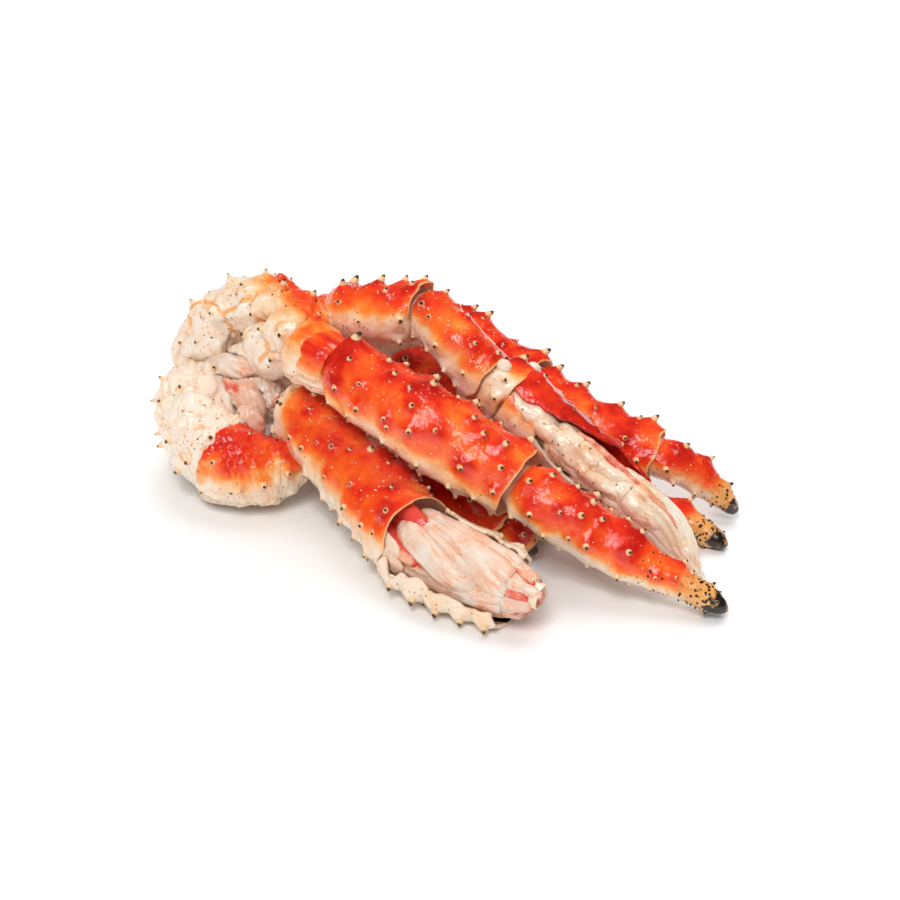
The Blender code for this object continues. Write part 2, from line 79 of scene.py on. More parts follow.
class Solid:
    """A CAD piece read back: its surface with the spines pressed flat, and the spines."""

    def __init__(self, name):
        mesh = bmesh.new()
        mesh.from_mesh(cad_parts[name].data)
        bmesh.ops.remove_doubles(mesh, verts=mesh.verts, dist=WELD)
        self.spines = []
        for vert in mesh.verts:
            ring = [edge.other_vert(vert).co for edge in vert.link_edges]
            foot = sum(ring, Vector()) / len(ring)
            near = max((co - foot).length for co in ring) < SPINE_FOOT
            if len(ring) == 4 and near and (vert.co - foot).length > SPINE_MIN:
                self.spines.append((np.array(foot), np.array(vert.co)))
                vert.co = foot
        self.tree = BVHTree.FromBMesh(mesh)
        self.points = np.array([face.calc_center_median() for face in mesh.faces])
        self.areas = np.array([face.calc_area() for face in mesh.faces])
        self.verts = np.array([vert.co for vert in mesh.verts])
        self.centre = np.average(self.points, axis=0, weights=self.areas)
        mesh.free()


def unit(rows):
    """The rows scaled to length one."""
    return rows / np.linalg.norm(rows, axis=-1, keepdims=True)


def wrapped(angle):
    """The angle brought between minus and plus half a turn."""
    return (angle + math.pi) % TURN - math.pi


def evenly(line, spacing):
    """The line with its points evenly spaced."""
    lengths = np.concatenate(([0], np.cumsum(np.linalg.norm(np.diff(line, axis=0), axis=1))))
    marks = np.linspace(0, lengths[-1], max(3, round(lengths[-1] / spacing) + 1))
    return np.stack([np.interp(marks, lengths, line[:, k]) for k in range(3)], axis=1)


def softened(rows, times):
    """The rows with each averaged with its neighbours, the ends kept."""
    rows = rows.copy()
    for _ in range(times):
        rows[1:-1] = (rows[:-2] + 2 * rows[1:-1] + rows[2:]) / 4
    return rows


def crossways(ahead):
    """The upper and the side direction square to each direction ahead."""
    side = unit(np.cross(ahead, (0, 0, 1)))
    return np.cross(side, ahead), side


def section(solid, place, ahead, angles):
    """The solid's radius at each angle round a place, or nan where a ray misses it."""
    top, side = crossways(ahead)
    radii = []
    for angle in angles:
        out = top * math.cos(angle) + side * math.sin(angle)
        hit = solid.tree.ray_cast(Vector(place + out * REACH), Vector(-out), REACH)[0]
        radii.append(np.nan if hit is None else (np.array(hit) - place) @ out)
    return np.array(radii)


class Leg:
    """The line that runs through a chain of CAD pieces, and their girth along it."""

    def __init__(self, *names):
        self.solids = {name: Solid(name) for name in names}
        line = self.rough()
        for _ in range(3):
            line = self.centred(line)
        start = line[0] - unit(line[2] - line[0]) * LONGER
        end = line[-1] + unit(line[-1] - line[-3]) * LONGER
        self.line = evenly(np.vstack((start, line, end)), MM)
        self.ahead = softened(unit(np.gradient(self.line, axis=0)), 8)
        self.lengths = np.arange(len(self.line)) * np.linalg.norm(self.line[1] - self.line[0])
        self.spans = {}
        self.girths = {}
        for name, solid in self.solids.items():
            self.measure(name, solid)

    def rough(self):
        """A first line: the middles of slabs across each solid."""
        solids = list(self.solids.values())
        line = []
        for k, solid in enumerate(solids):
            ahead = solids[min(k + 1, len(solids) - 1)].centre - solids[max(k - 1, 0)].centre
            if len(solids) == 1:
                ahead = np.linalg.svd(solid.points - solid.centre)[2][0]
                ahead = ahead * np.sign(ahead[0])
            along = solid.points @ unit(ahead)
            edges = np.linspace(along.min(), along.max(), max(1, round(np.ptp(along) / SLAB)) + 1)
            for low, high in zip(edges, edges[1:]):
                here = (along >= low) & (along <= high)
                if here.sum() > 3:
                    line.append(np.average(solid.points[here], axis=0, weights=solid.areas[here]))
        line = np.array(line)
        return line[np.argsort(line @ unit(line[-1] - line[0]))]

    def centred(self, line):
        """The line moved to the middle of the solids' sections."""
        line = softened(evenly(line, 3 * MM), 2)
        angles = np.arange(0, TURN, TURN / RAYS)
        kept = []
        for place, ahead in zip(line, unit(np.gradient(line, axis=0))):
            widest = None
            for solid in self.solids.values():
                radii = section(solid, place, ahead, angles)
                full = np.isfinite(radii).sum() > RAYS - 4
                if full and (widest is None or np.nanmean(radii) > np.nanmean(widest)):
                    widest = np.nan_to_num(radii, nan=float(np.nanmean(radii)))
            if widest is not None:
                top, side = crossways(ahead)
                weight = widest ** 3 / (widest ** 2).sum() * 2 / 3
                off = top * (weight * np.cos(angles)).sum() + side * (weight * np.sin(angles)).sum()
                kept.append(place + off)
        return softened(np.array(kept), 2)

    def unrolled(self, points):
        """Length along, angle round and distance from the line, of each point."""
        points = np.atleast_2d(points)
        nearest = np.linalg.norm(points[:, None] - self.line[None], axis=2).argmin(axis=1)
        away = points - self.line[nearest]
        forward = (away * self.ahead[nearest]).sum(axis=1)
        top, side = crossways(self.ahead[nearest])
        angle = np.arctan2((away * side).sum(axis=1), (away * top).sum(axis=1))
        across = away - self.ahead[nearest] * forward[:, None]
        return self.lengths[nearest] + forward, angle, np.linalg.norm(across, axis=1)

    def measure(self, name, solid):
        """Note where the solid starts and ends along the line, and its girth there."""
        length = self.unrolled(solid.verts)[0]
        start, end = np.percentile(length, 1), np.percentile(length, 99)
        self.spans[name] = (start, end)
        marks = np.arange(start + 0.4 * MM, end - 0.4 * MM, STEP)
        angles = np.arange(READ_ANGLES) * TURN / READ_ANGLES
        waves = [np.ones_like(angles)]
        for k in range(1, WAVES + 1):
            waves += [np.cos(k * angles), np.sin(k * angles)]
        rows = []
        for mark in marks:
            radii = section(solid, self.place(mark), self.way(mark), angles)
            seen = np.isfinite(radii)
            if seen.sum() < READ_ANGLES / 4:
                rows.append(rows[-1] if rows else np.zeros(2 * WAVES + 1))
                continue
            radii = np.interp(angles, angles[seen], radii[seen], period=TURN)
            rows.append(np.array(waves) @ radii * 2 / READ_ANGLES)
            rows[-1][0] /= 2
        self.girths[name] = (marks, softened(np.array(rows), 1))

    def at(self, rows, length):
        """The rows, given along the line, read off at the lengths."""
        return np.stack([np.interp(length, self.lengths, rows[:, k]) for k in range(3)], axis=-1)

    def place(self, length):
        """The point of the line at each length."""
        return self.at(self.line, length)

    def way(self, length):
        """The line's direction at each length."""
        return unit(self.at(self.ahead, length))

    def radius(self, name, length, angle):
        """The radius of a piece at each length and angle, without its facets."""
        marks, rows = self.girths[name]
        terms = [np.interp(length, marks, rows[:, k]) for k in range(rows.shape[1])]
        total = terms[0]
        for k in range(1, WAVES + 1):
            total = total + terms[2 * k - 1] * np.cos(k * angle) + terms[2 * k] * np.sin(k * angle)
        return total * FACETS

    def spot(self, length, angle, radius):
        """The points at these lengths, angles and radii."""
        top, side = crossways(self.way(length))
        out = top * np.cos(angle)[..., None] + side * np.sin(angle)[..., None]
        return self.place(length) + out * np.asarray(radius)[..., None]

    def on_skin(self, name, length, angle):
        """The points of a piece's surface at these lengths and angles."""
        return self.spot(length, angle, self.radius(name, length, angle))

    def outward(self, length, angle, radius=0.0):
        """The direction away from the leg at these lengths and angles."""
        return unit(self.spot(length, angle, radius + MM) - self.spot(length, angle, radius))

    def along(self, name, share):
        """The length at a share of a piece's own length."""
        start, end = self.spans[name]
        return start + share * (end - start)

    def mean_girth(self, name):
        """A piece's mean radius."""
        return self.girths[name][1][:, 0].mean()

    def sheet(self, name, low, high, more=0):
        """The lengths and angles of a grid of points all round a piece, a pitch apart."""
        cols = int(TURN * self.mean_girth(name) / PITCH)
        lengths = np.linspace(low, high, int((high - low) / PITCH) + more)
        return np.meshgrid(lengths, np.arange(cols) * TURN / cols, indexing="ij")


# ---------------------------------------------------------------- small helpers

def rise(low, high, value):
    """0 below low, 1 above high, and a smooth rise between."""
    share = np.clip((value - low) / (high - low), 0, 1)
    return share * share * (3 - 2 * share)


def ripple(points, size, seed):
    """A smooth unevenness from -1 to 1 in space, of about this size."""
    random = np.random.default_rng(seed)
    total = np.zeros(points.shape[:-1])
    for _ in range(RIPPLES):
        ahead = unit(random.normal(size=3)) * random.uniform(0.7, 1.4) * TURN / size
        total += np.sin(points @ ahead + random.uniform(0, TURN))
    return total / RIPPLES * 1.6


def ragged(angle, seed, finest=9):
    """An uneven outline from about -1 to 1 round a leg."""
    random = np.random.default_rng(seed)
    total = np.zeros_like(angle)
    for k in range(2, finest + 1):
        total += np.sin(k * angle + random.uniform(0, TURN)) * random.uniform(0.3, 1) / math.sqrt(k)
    return total / 2.2


def rolled(radius, angle, along):
    """Points from their radii and angles round an axis and their places along it."""
    return np.stack((radius * np.cos(angle), radius * np.sin(angle), along), axis=-1)


def flat(rows):
    """The numbers of some rows, as Blender takes them."""
    return rows.astype(np.float32).ravel()


def read(mesh, key):
    """The places or the normals of a mesh's points, as rows."""
    rows = np.empty(len(mesh.vertices) * 3, np.float32)
    mesh.vertices.foreach_get(key, rows)
    return rows.reshape(-1, 3).astype(float)


def store(mesh, values):
    """Keep numbers or directions on the mesh's points, under these names."""
    for key, value in values.items():
        number = value.size == len(mesh.vertices)
        layer = mesh.attributes.new(key, "FLOAT" if number else "FLOAT_VECTOR", "POINT")
        layer.data.foreach_set("value" if number else "vector", flat(value))


def linked(name, data):
    """A new object in the scene."""
    made = bpy.data.objects.new(name, data)
    bpy.context.scene.collection.objects.link(made)
    return made


def settled(piece):
    """The piece with its mesh as its modifiers leave it."""
    graph = bpy.context.evaluated_depsgraph_get()
    mesh = bpy.data.meshes.new_from_object(piece.evaluated_get(graph))
    piece.modifiers.clear()
    old = piece.data
    piece.data = mesh
    bpy.data.meshes.remove(old)
    mesh.name = piece.name
    return piece


def placed(piece, slot, look, *nodes):
    """The piece on the body, with its look and the CAD nodes that it stands for; the slot is not used."""
    points = read(piece.data, "co")
    points[:, 2] = np.maximum(points[:, 2], 0)
    piece.data.vertices.foreach_set("co", flat(points))
    piece.data.materials.clear()
    piece.data.materials.append(look)
    piece.data.polygons.foreach_set("material_index", np.zeros(len(piece.data.polygons), int))
    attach(piece, "root")
    if nodes:
        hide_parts(*nodes)
    return piece


def grid_mesh(name, points, marks, closed=True):
    """A skin over rows of points, closed round and at both ends, with marks stored on its points."""
    rows, cols = points.shape[:2]
    verts = points.reshape(-1, 3)
    k = np.arange(rows * cols).reshape(rows, cols)
    a, b = k[:-1], k[1:]
    if closed:
        c, d = np.roll(b, -1, axis=1), np.roll(a, -1, axis=1)
    else:
        a, b, c, d = a[:, :-1], b[:, :-1], b[:, 1:], a[:, 1:]
    quads = np.stack((a, b, c, d), axis=-1).reshape(-1, 4)
    values = {key: mark.reshape(rows * cols, -1) for key, mark in marks.items()}
    fans = np.zeros((0, 3), int)
    if closed:
        first = len(verts)
        verts = np.vstack((verts, points[0].mean(axis=0), points[-1].mean(axis=0)))
        start = np.stack((np.full(cols, first), k[0], np.roll(k[0], -1)), axis=1)
        end = np.stack((np.full(cols, first + 1), np.roll(k[-1], -1), k[-1]), axis=1)
        fans = np.vstack((start, end))
        for key, v in values.items():
            values[key] = np.vstack((v, v[:cols].mean(axis=0), v[-cols:].mean(axis=0)))
        if turned_in(verts, quads):
            quads, fans = quads[:, ::-1], fans[:, ::-1]
    mesh = bpy.data.meshes.new(name)
    mesh.vertices.add(len(verts))
    mesh.vertices.foreach_set("co", flat(verts))
    corners = np.concatenate((quads.ravel(), fans.ravel()))
    sizes = np.concatenate((np.full(len(quads), 4), np.full(len(fans), 3)))
    mesh.loops.add(len(corners))
    mesh.loops.foreach_set("vertex_index", corners)
    mesh.polygons.add(len(sizes))
    mesh.polygons.foreach_set("loop_start", np.concatenate(([0], np.cumsum(sizes)[:-1])))
    mesh.update(calc_edges=True)
    store(mesh, values)
    mesh.shade_smooth()
    return linked(name, mesh)


def turned_in(verts, quads):
    """True if the faces of a closed skin point inwards."""
    middle = verts.mean(axis=0)
    a, b, c, d = (verts[quads[:, k]] - middle for k in range(4))
    return (np.cross(c - a, d - b) * (a + c)).sum() < 0


# ---------------------------------------------------------------- geometry nodes

class Nodes:
    """A node tree under construction."""

    def add(self, kind, output=0, **inputs):
        """A node with its inputs linked or set; names starting with a small letter are settings."""
        node = self.tree.nodes.new(kind)
        for key, value in inputs.items():
            if key[0].islower():
                setattr(node, key, value)
        for key, value in inputs.items():
            if key[0].islower():
                continue
            place = [s for s in node.inputs if s.enabled and s.name.replace(" ", "_") == key.rstrip("_")]
            socket = place[1] if key.endswith("_") else place[0]
            if isinstance(value, bpy.types.NodeSocket):
                self.tree.links.new(value, socket)
            else:
                socket.default_value = value
        return node.outputs[output]

    def maths(self, operation, first, second=0.0):
        """A math node."""
        return self.add("ShaderNodeMath", operation=operation, Value=first, Value_=second)

    def vector(self, operation, first, second):
        """A vector math node."""
        return self.add("ShaderNodeVectorMath", operation=operation, Vector=first, Vector_=second)

    def times(self, first, *others):
        """The product of some values."""
        for other in others:
            first = self.maths("MULTIPLY", first, other)
        return first

    def plus(self, first, *others):
        """The sum of some values."""
        for other in others:
            first = self.maths("ADD", first, other)
        return first

    def about(self, noise, amount):
        """Noise moved to lie round nothing, and scaled by an amount."""
        return self.times(self.maths("SUBTRACT", noise, 0.5), amount)


class Tree(Nodes):
    """A geometry node tree under construction, with named inputs."""

    def __init__(self, name, **inputs):
        self.tree = bpy.data.node_groups.new(name, "GeometryNodeTree")
        face = self.tree.interface
        face.new_socket("Geometry", in_out="INPUT", socket_type="NodeSocketGeometry")
        face.new_socket("Geometry", in_out="OUTPUT", socket_type="NodeSocketGeometry")
        for key, kind in inputs.items():
            face.new_socket(key, in_out="INPUT", socket_type="NodeSocket" + kind)
        self.given = self.tree.nodes.new("NodeGroupInput").outputs
        self.sink = self.tree.nodes.new("NodeGroupOutput")

    def attribute(self, key, kind="FLOAT"):
        """A named attribute's value."""
        return self.add("GeometryNodeInputNamedAttribute", data_type=kind, Name=key)

    def end(self, geometry):
        """The tree with this geometry as its result."""
        self.tree.links.new(geometry, self.sink.inputs["Geometry"])
        return self.tree


def applied(piece, tree, **inputs):
    """The piece with its mesh as the node tree makes it."""
    modifier = piece.modifiers.new(tree.name, "NODES")
    modifier.node_group = tree
    sockets = {s.name: s.identifier for s in tree.interface.items_tree if s.in_out == "INPUT"}
    for key, value in inputs.items():
        modifier[sockets[key]] = value
    return settled(piece)


def weather_tree():
    """Raise fine lumps and grain on a skin, more where its attribute rough is high."""
    t = Tree("weather", Lump_size="Float", Lump_height="Float", Grain_size="Float", Grain_height="Float")
    normal = t.add("GeometryNodeInputNormal")
    lumps = t.add("ShaderNodeTexNoise", Scale=t.maths("DIVIDE", 1.0, t.given["Lump_size"]), Detail=2.0)
    grain = t.add("ShaderNodeTexNoise", Scale=t.maths("DIVIDE", 1.0, t.given["Grain_size"]), Detail=3.0,
                  Roughness=0.6)
    lumps = t.about(lumps, t.given["Lump_height"])
    grain = t.times(t.about(grain, t.given["Grain_height"]), t.plus(t.attribute("rough"), 0.35))
    offset = t.add("ShaderNodeVectorMath", operation="SCALE", Vector=normal, Scale=t.plus(lumps, grain))
    return t.end(t.add("GeometryNodeSetPosition", Geometry=t.given["Geometry"], Offset=offset))


def horn_tree():
    """Stand a horn on every point, along its aim and as tall and wide as it says."""
    t = Tree("horns", Sides="Int", Rings="Int", Tip="Float")
    cone = t.add("GeometryNodeMeshCone", Vertices=t.given["Sides"], Side_Segments=t.given["Rings"],
                 Fill_Segments=2, Radius_Top=t.given["Tip"], Radius_Bottom=1.0, Depth=1.0)
    place = t.add("GeometryNodeInputPosition")
    height = t.add("ShaderNodeSeparateXYZ", 2, Vector=place)
    flare = t.plus(t.times(t.maths("POWER", t.maths("SUBTRACT", 1.0, height), 2.0), 0.30), 0.70)
    blunt = t.maths("MAXIMUM", t.times(t.maths("SUBTRACT", height, 0.72), 3.4), 0.0)
    blunt = t.maths("POWER", t.maths("SUBTRACT", 1.0, t.maths("POWER", blunt, 2.0)), 0.5)
    flare = t.times(flare, blunt)
    bow = t.times(t.maths("POWER", height, 2.0), 0.16)
    wide = t.vector("MULTIPLY", place, t.add("ShaderNodeCombineXYZ", X=flare, Y=flare, Z=1.0))
    wide = t.vector("ADD", wide, t.add("ShaderNodeCombineXYZ", X=bow, Y=0.0, Z=0.0))
    cone = t.add("GeometryNodeSetPosition", Geometry=cone, Position=wide)
    cone = t.add("GeometryNodeStoreNamedAttribute", data_type="FLOAT", domain="POINT", Geometry=cone,
                 Name="tip", Value=height)
    aim = t.add("FunctionNodeAlignRotationToVector", axis="Z", Vector=t.attribute("aim", "FLOAT_VECTOR"))
    girth = t.attribute("girth")
    size = t.add("ShaderNodeCombineXYZ", X=girth, Y=girth, Z=t.attribute("height"))
    stood = t.add("GeometryNodeInstanceOnPoints", Points=t.given["Geometry"], Instance=cone,
                  Rotation=aim, Scale=size)
    return t.end(t.add("GeometryNodeRealizeInstances", Geometry=stood))


def pimple_tree():
    """Scatter small low domes over a skin where its attribute pimply is high."""
    t = Tree("pimples", Density="Float", Radius="Float", Seed="Int")
    points = t.add("GeometryNodeDistributePointsOnFaces", Mesh=t.given["Geometry"],
                   Density=t.times(t.given["Density"], t.attribute("pimply")), Seed=t.given["Seed"])
    dome = t.add("GeometryNodeMeshIcoSphere", Radius=t.given["Radius"], Subdivisions=2)
    size = t.add("FunctionNodeRandomValue", 1, data_type="FLOAT", Min=0.5, Max=1.3, Seed=t.given["Seed"])
    stood = t.add("GeometryNodeInstanceOnPoints", Points=points, Instance=dome, Scale=size)
    return t.end(t.add("GeometryNodeRealizeInstances", Geometry=stood))


WEATHER = weather_tree()
HORN = horn_tree()
PIMPLE = pimple_tree()


def weathered(piece, lump_size, lump_height, grain_size, grain_height):
    """The piece with lumps and grain of these sizes and heights, in mm."""
    return applied(piece, WEATHER, Lump_size=lump_size * MM, Lump_height=lump_height * MM,
                   Grain_size=grain_size * MM, Grain_height=grain_height * MM)


# ---------------------------------------------------------------- materials

class Look(Nodes):
    """A material under construction; settings go straight to the shader's own sockets.

    The sizes that its methods take are in mm.
    """

    def __init__(self, name, soft=None, **settings):
        """soft is how much light goes in under the surface, its colour and how deep, in metres."""
        self.material = bpy.data.materials.new(name)
        self.material.use_nodes = True
        self.tree = self.material.node_tree
        self.shader = self.tree.nodes["Principled BSDF"]
        self.place = self.add("ShaderNodeTexCoord", 3)
        if soft is not None:
            names = ("Subsurface_Weight", "Subsurface_Radius", "Subsurface_Scale")
            settings.update(zip(names, soft))
        for key, value in settings.items():
            self.shader.inputs[key.replace("_", " ")].default_value = value

    def mark(self, key, output=2):
        """A value stored on the mesh."""
        return self.add("ShaderNodeAttribute", output, attribute_name=key)

    def noise(self, size, detail=3.0, twist=0.0, place=None):
        """Noise with features of about this size."""
        return self.add("ShaderNodeTexNoise", Vector=place or self.place, Scale=0.6 / (size * MM),
                        Detail=detail, Roughness=0.55, Distortion=twist)

    def stretched(self, key, along):
        """Coordinates along a leg, drawn out so that patterns run lengthwise."""
        return self.add("ShaderNodeMapping", Vector=self.mark(key, 1), Scale=(1.0, 1.0, 1.0 / along))

    def step(self, value, low, high, bottom=0.0, top=1.0):
        """A smooth rise of the value from bottom at low to top at high."""
        return self.add("ShaderNodeMapRange", interpolation_type="SMOOTHSTEP", Value=value, From_Min=low,
                        From_Max=high, To_Min=bottom, To_Max=top)

    def patches(self, size, low, high, bottom=0.0, top=1.0, **kind):
        """Patches of about this size, from the noise above a level."""
        return self.step(self.noise(size, **kind), low, high, bottom, top)

    def dots(self, size, radius, share):
        """Round dots, one in each cell of this size, in this share of the cells."""
        cell = self.tree.nodes.new("ShaderNodeTexVoronoi")
        cell.inputs["Scale"].default_value = 1 / (size * MM)
        self.tree.links.new(self.place, cell.inputs["Vector"])
        pick = self.add("ShaderNodeSeparateColor", Color=cell.outputs["Color"])
        return self.times(self.step(pick, share - 0.02, share, 1.0, 0.0),
                          self.step(cell.outputs["Distance"], radius * 0.6, radius, 1.0, 0.0))

    def lay(self, colour, tone, *shares):
        """The colour with a tone laid over it, as much as the product of the shares."""
        if isinstance(tone, tuple):
            tone = (*tone, 1)
        share = self.times(*shares)
        return self.add("ShaderNodeMix", 2, data_type="RGBA", Factor=share, A=colour, B=tone)

    def ramp(self, value, *stops):
        """Colours at places along a value."""
        node = self.tree.nodes.new("ShaderNodeValToRGB")
        self.tree.links.new(value, node.inputs["Fac"])
        elements = node.color_ramp.elements
        while len(elements) < len(stops):
            elements.new(0.5)
        for element, (place, colour) in zip(elements, stops):
            element.position = place
            element.color = (*colour, 1)
        return node.outputs["Color"]

    def done(self, colour, height, depth, roughness=None):
        """Link the colour and the bump, and give the material."""
        self.tree.links.new(colour, self.shader.inputs["Base Color"])
        if roughness is not None:
            self.tree.links.new(roughness, self.shader.inputs["Roughness"])
        bump = self.add("ShaderNodeBump", Height=height, Distance=depth * MM, Strength=1.0)
        self.tree.links.new(bump, self.shader.inputs["Normal"])
        self.tree.links.new(bump, self.shader.inputs["Coat Normal"])
        return self.material


WHITE = (0.95, 0.76, 0.58)
CREAM = (0.95, 0.59, 0.33)
PEACH = (0.96, 0.42, 0.15)
ORANGE = (0.96, 0.24, 0.030)
VIVID = (0.94, 0.105, 0.012)
RED = (0.80, 0.030, 0.008)
DEEP = (0.52, 0.009, 0.004)
BROWN = (0.20, 0.065, 0.018)
CHAR = (0.020, 0.011, 0.008)
TAN = (0.82, 0.40, 0.12)
RIM = (0.94, 0.50, 0.20)
INSIDE = (0.90, 0.55, 0.42)
COLLAR = (0.93, 0.66, 0.34)
RUST = (0.90, 0.40, 0.12)
SEAM = (0.90, 0.40, 0.10)
AMBER = (0.92, 0.36, 0.07)
FRECKLE = (0.86, 0.40, 0.10)
SHADES = ((0.0, WHITE), (0.08, WHITE), (0.24, CREAM), (0.37, PEACH), (0.49, ORANGE), (0.66, VIVID),
          (0.84, RED), (1.0, DEEP))
SHOULDER_SHADES = ((0.0, (0.93, 0.80, 0.66)), (0.17, (0.94, 0.74, 0.57)), (0.31, CREAM), (0.40, PEACH),
                   (0.55, ORANGE), (0.74, VIVID), (1.0, RED))


def shell_look(name, shift=0.0):
    """Cooked shell: red on the back, orange on the flanks and cream below, dotted and wet, with pale raised
    dots that are tubercles and also painted glints.
    """
    k = Look(name, (0.08, (1.0, 0.3, 0.15), 2 * MM), Coat_Weight=1.0, Coat_Roughness=0.08,
             Specular_IOR_Level=0.1)
    mid = k.noise(4.0, 4.0)
    fine = k.noise(0.9)
    value = k.plus(k.mark("red"), k.about(k.noise(15, twist=0.4), 0.85), k.about(mid, 0.42), shift)
    wobble = k.about(mid, 0.9)
    rim = k.plus(k.mark("rim"), wobble)
    burnt = k.plus(k.mark("char"), wobble)
    # pale raised dots on the red: tubercles, and also painted glints
    flecks_and_glints = k.times(k.dots(3.6, 0.13, 0.6), k.step(value, 0.4, 0.6))
    pale = k.step(value, 0.3, 0.55, 1.0, 0.0)
    colour = k.ramp(value, *SHADES)
    colour = k.lay(colour, BROWN, k.dots(2.6, 0.26, 0.6), k.patches(7, 0.42, 0.55), pale, 0.85)
    colour = k.lay(colour, WHITE, flecks_and_glints, 0.8)
    colour = k.lay(colour, RIM, k.step(rim, 0.65, 1.1), 0.85)
    colour = k.lay(colour, INSIDE, k.step(k.mark("inner"), 0.2, 0.8))
    colour = k.lay(colour, TAN, k.step(burnt, 0.15, 0.5), 0.85)
    colour = k.lay(colour, CHAR, k.step(burnt, 0.2, 0.6), k.dots(2.2, 0.45, 0.85))
    colour = k.lay(colour, CHAR, k.step(burnt, 0.86, 0.97))
    height = k.plus(k.times(mid, 1.2), k.times(fine, 0.28), k.times(flecks_and_glints, 0.6))
    return k.done(colour, height, 0.75, k.patches(3, 0.3, 0.7, 0.20, 0.40))


def spine_look(name, shift=0.0, burnt=0.0):
    """A spine: shell colour at its foot, a pale collar, and a dark blunt tip."""
    k = Look(name, Roughness=0.4, Coat_Weight=0.3, Coat_Roughness=0.15)
    foot = k.ramp(k.plus(k.mark("red"), shift), *SHADES)
    height = k.plus(k.mark("tip"), k.about(k.noise(1.2), 0.25), burnt)
    collar = k.ramp(height, (0.0, PEACH), (0.45, CREAM), (0.76, COLLAR), (0.86, BROWN), (0.93, CHAR))
    return k.done(k.lay(foot, collar, k.step(height, 0.28, 0.60)), k.noise(0.5), 0.15)


FLESH = ((0.87, 0.75, 0.63), (0.86, 0.65, 0.51), (0.88, 0.51, 0.35))
CREAMY = ((0.93, 0.80, 0.63), (0.93, 0.72, 0.53), (0.92, 0.56, 0.33))
STRINGY = ((0.92, 0.83, 0.69), (0.92, 0.78, 0.61), (0.90, 0.68, 0.46))
ROSY = ((0.88, 0.62, 0.48), (0.87, 0.52, 0.38), (0.86, 0.42, 0.28))
PALE = (WHITE, (0.88, 0.66, 0.5), (0.85, 0.5, 0.33))
PEARL = ((0.93, 0.84, 0.74), (0.92, 0.78, 0.65), (0.90, 0.66, 0.48))


def meat_look(name, tones=FLESH, dotted=False, crease_tint_and_shade=(0.93, 0.40, 0.20), deep=(0.80, 0.050, 0.035),
              vein=(0.92, 0.30, 0.10)):
    """Moist meat in fibres, veined orange, and redder where marked: partly its own red, partly painted
    shade in its troughs and in the gaps between bundles.
    """
    k = Look(name, (0.2, (1.0, 0.45, 0.3), 2.5 * MM), Coat_Weight=0.85, Coat_Roughness=0.12)
    fibres = k.noise(1.1, twist=0.3, place=k.stretched("grain", 7.0))
    flakes = k.noise(2.6)
    swirl = k.noise(6, 4.0, 0.5, k.stretched("grain", 3.0))
    fold = k.plus(k.mark("fold"), k.about(flakes, 0.8))
    colour = k.ramp(k.noise(7), *zip((0.36, 0.50, 0.68), tones))
    colour = k.lay(colour, tones[2], k.step(fibres, 0.50, 0.32), 0.35)
    colour = k.lay(colour, vein, k.step(swirl, 0.475, 0.498), k.step(swirl, 0.525, 0.502),
                   k.patches(9, 0.42, 0.56, 0.0, 0.7))
    # the marked redness, with noise, lays the two redder colours: the meat's own red plus painted shade in
    # troughs and between bundles
    colour = k.lay(colour, crease_tint_and_shade, k.step(fold, 0.25, 0.75), 0.75)
    colour = k.lay(colour, deep, k.step(fold, 0.65, 1.05), 0.95)
    if dotted:
        colour = k.lay(colour, RUST, k.patches(3.0, 0.57, 0.66, detail=4.0, twist=0.8), 0.55)
        colour = k.lay(colour, BROWN, k.dots(4.2, 0.2, 0.4), 0.8)
    height = k.plus(k.times(fibres, 0.4 if dotted else 1.1), k.times(flakes, 0.6))
    return k.done(colour, height, 0.5, k.patches(3, 0.3, 0.7, 0.28, 0.5))


def skin_look(name, tones):
    """Thin membrane or pale flesh in three near tones."""
    k = Look(name, (0.2, (1.0, 0.4, 0.25), 3 * MM), Coat_Weight=0.35, Coat_Roughness=0.15)
    colour = k.ramp(k.noise(6, 4.0, 0.5), *zip((0.32, 0.5, 0.68), tones))
    colour = k.lay(colour, BROWN, k.dots(3.1, 0.16, 0.3), 0.7)
    return k.done(colour, k.noise(1.6, 4.0), 0.4, k.patches(4, 0.3, 0.7, 0.2, 0.45))


def carapace_look(name):
    """The shoulder's cream shell: orange seams, brown freckles, and red where marked."""
    k = Look(name, (0.12, (1.0, 0.4, 0.25), 3 * MM), Coat_Weight=0.6, Coat_Roughness=0.14)
    mid = k.noise(4, 4.0)
    value = k.plus(k.mark("red"), k.about(k.noise(13, 4.0, 0.6), 0.62), k.about(mid, 0.5))
    seam = k.plus(k.mark("seam"), k.about(mid, 1.1))
    patchy = k.patches(9, 0.44, 0.54)
    colour = k.ramp(value, *SHOULDER_SHADES)
    colour = k.lay(colour, SEAM, k.step(seam, 0.35, 1.0), 0.9)
    colour = k.lay(colour, AMBER, k.patches(3.5, 0.56, 0.68, detail=4.0, twist=0.8),
                   k.patches(16, 0.42, 0.58), 0.7)
    colour = k.lay(colour, FRECKLE, k.dots(2.9, 0.34, 0.7), patchy, 0.7)
    colour = k.lay(colour, CHAR, k.dots(3.7, 0.20, 0.7), patchy, 0.95)
    colour = k.lay(colour, BROWN, k.dots(1.7, 0.27, 0.6), k.patches(12, 0.58, 0.64), 0.9)
    height = k.plus(mid, k.times(k.noise(1.1, 4.0), 0.4))
    return k.done(colour, height, 0.25, k.patches(4, 0.3, 0.7, 0.24, 0.45))


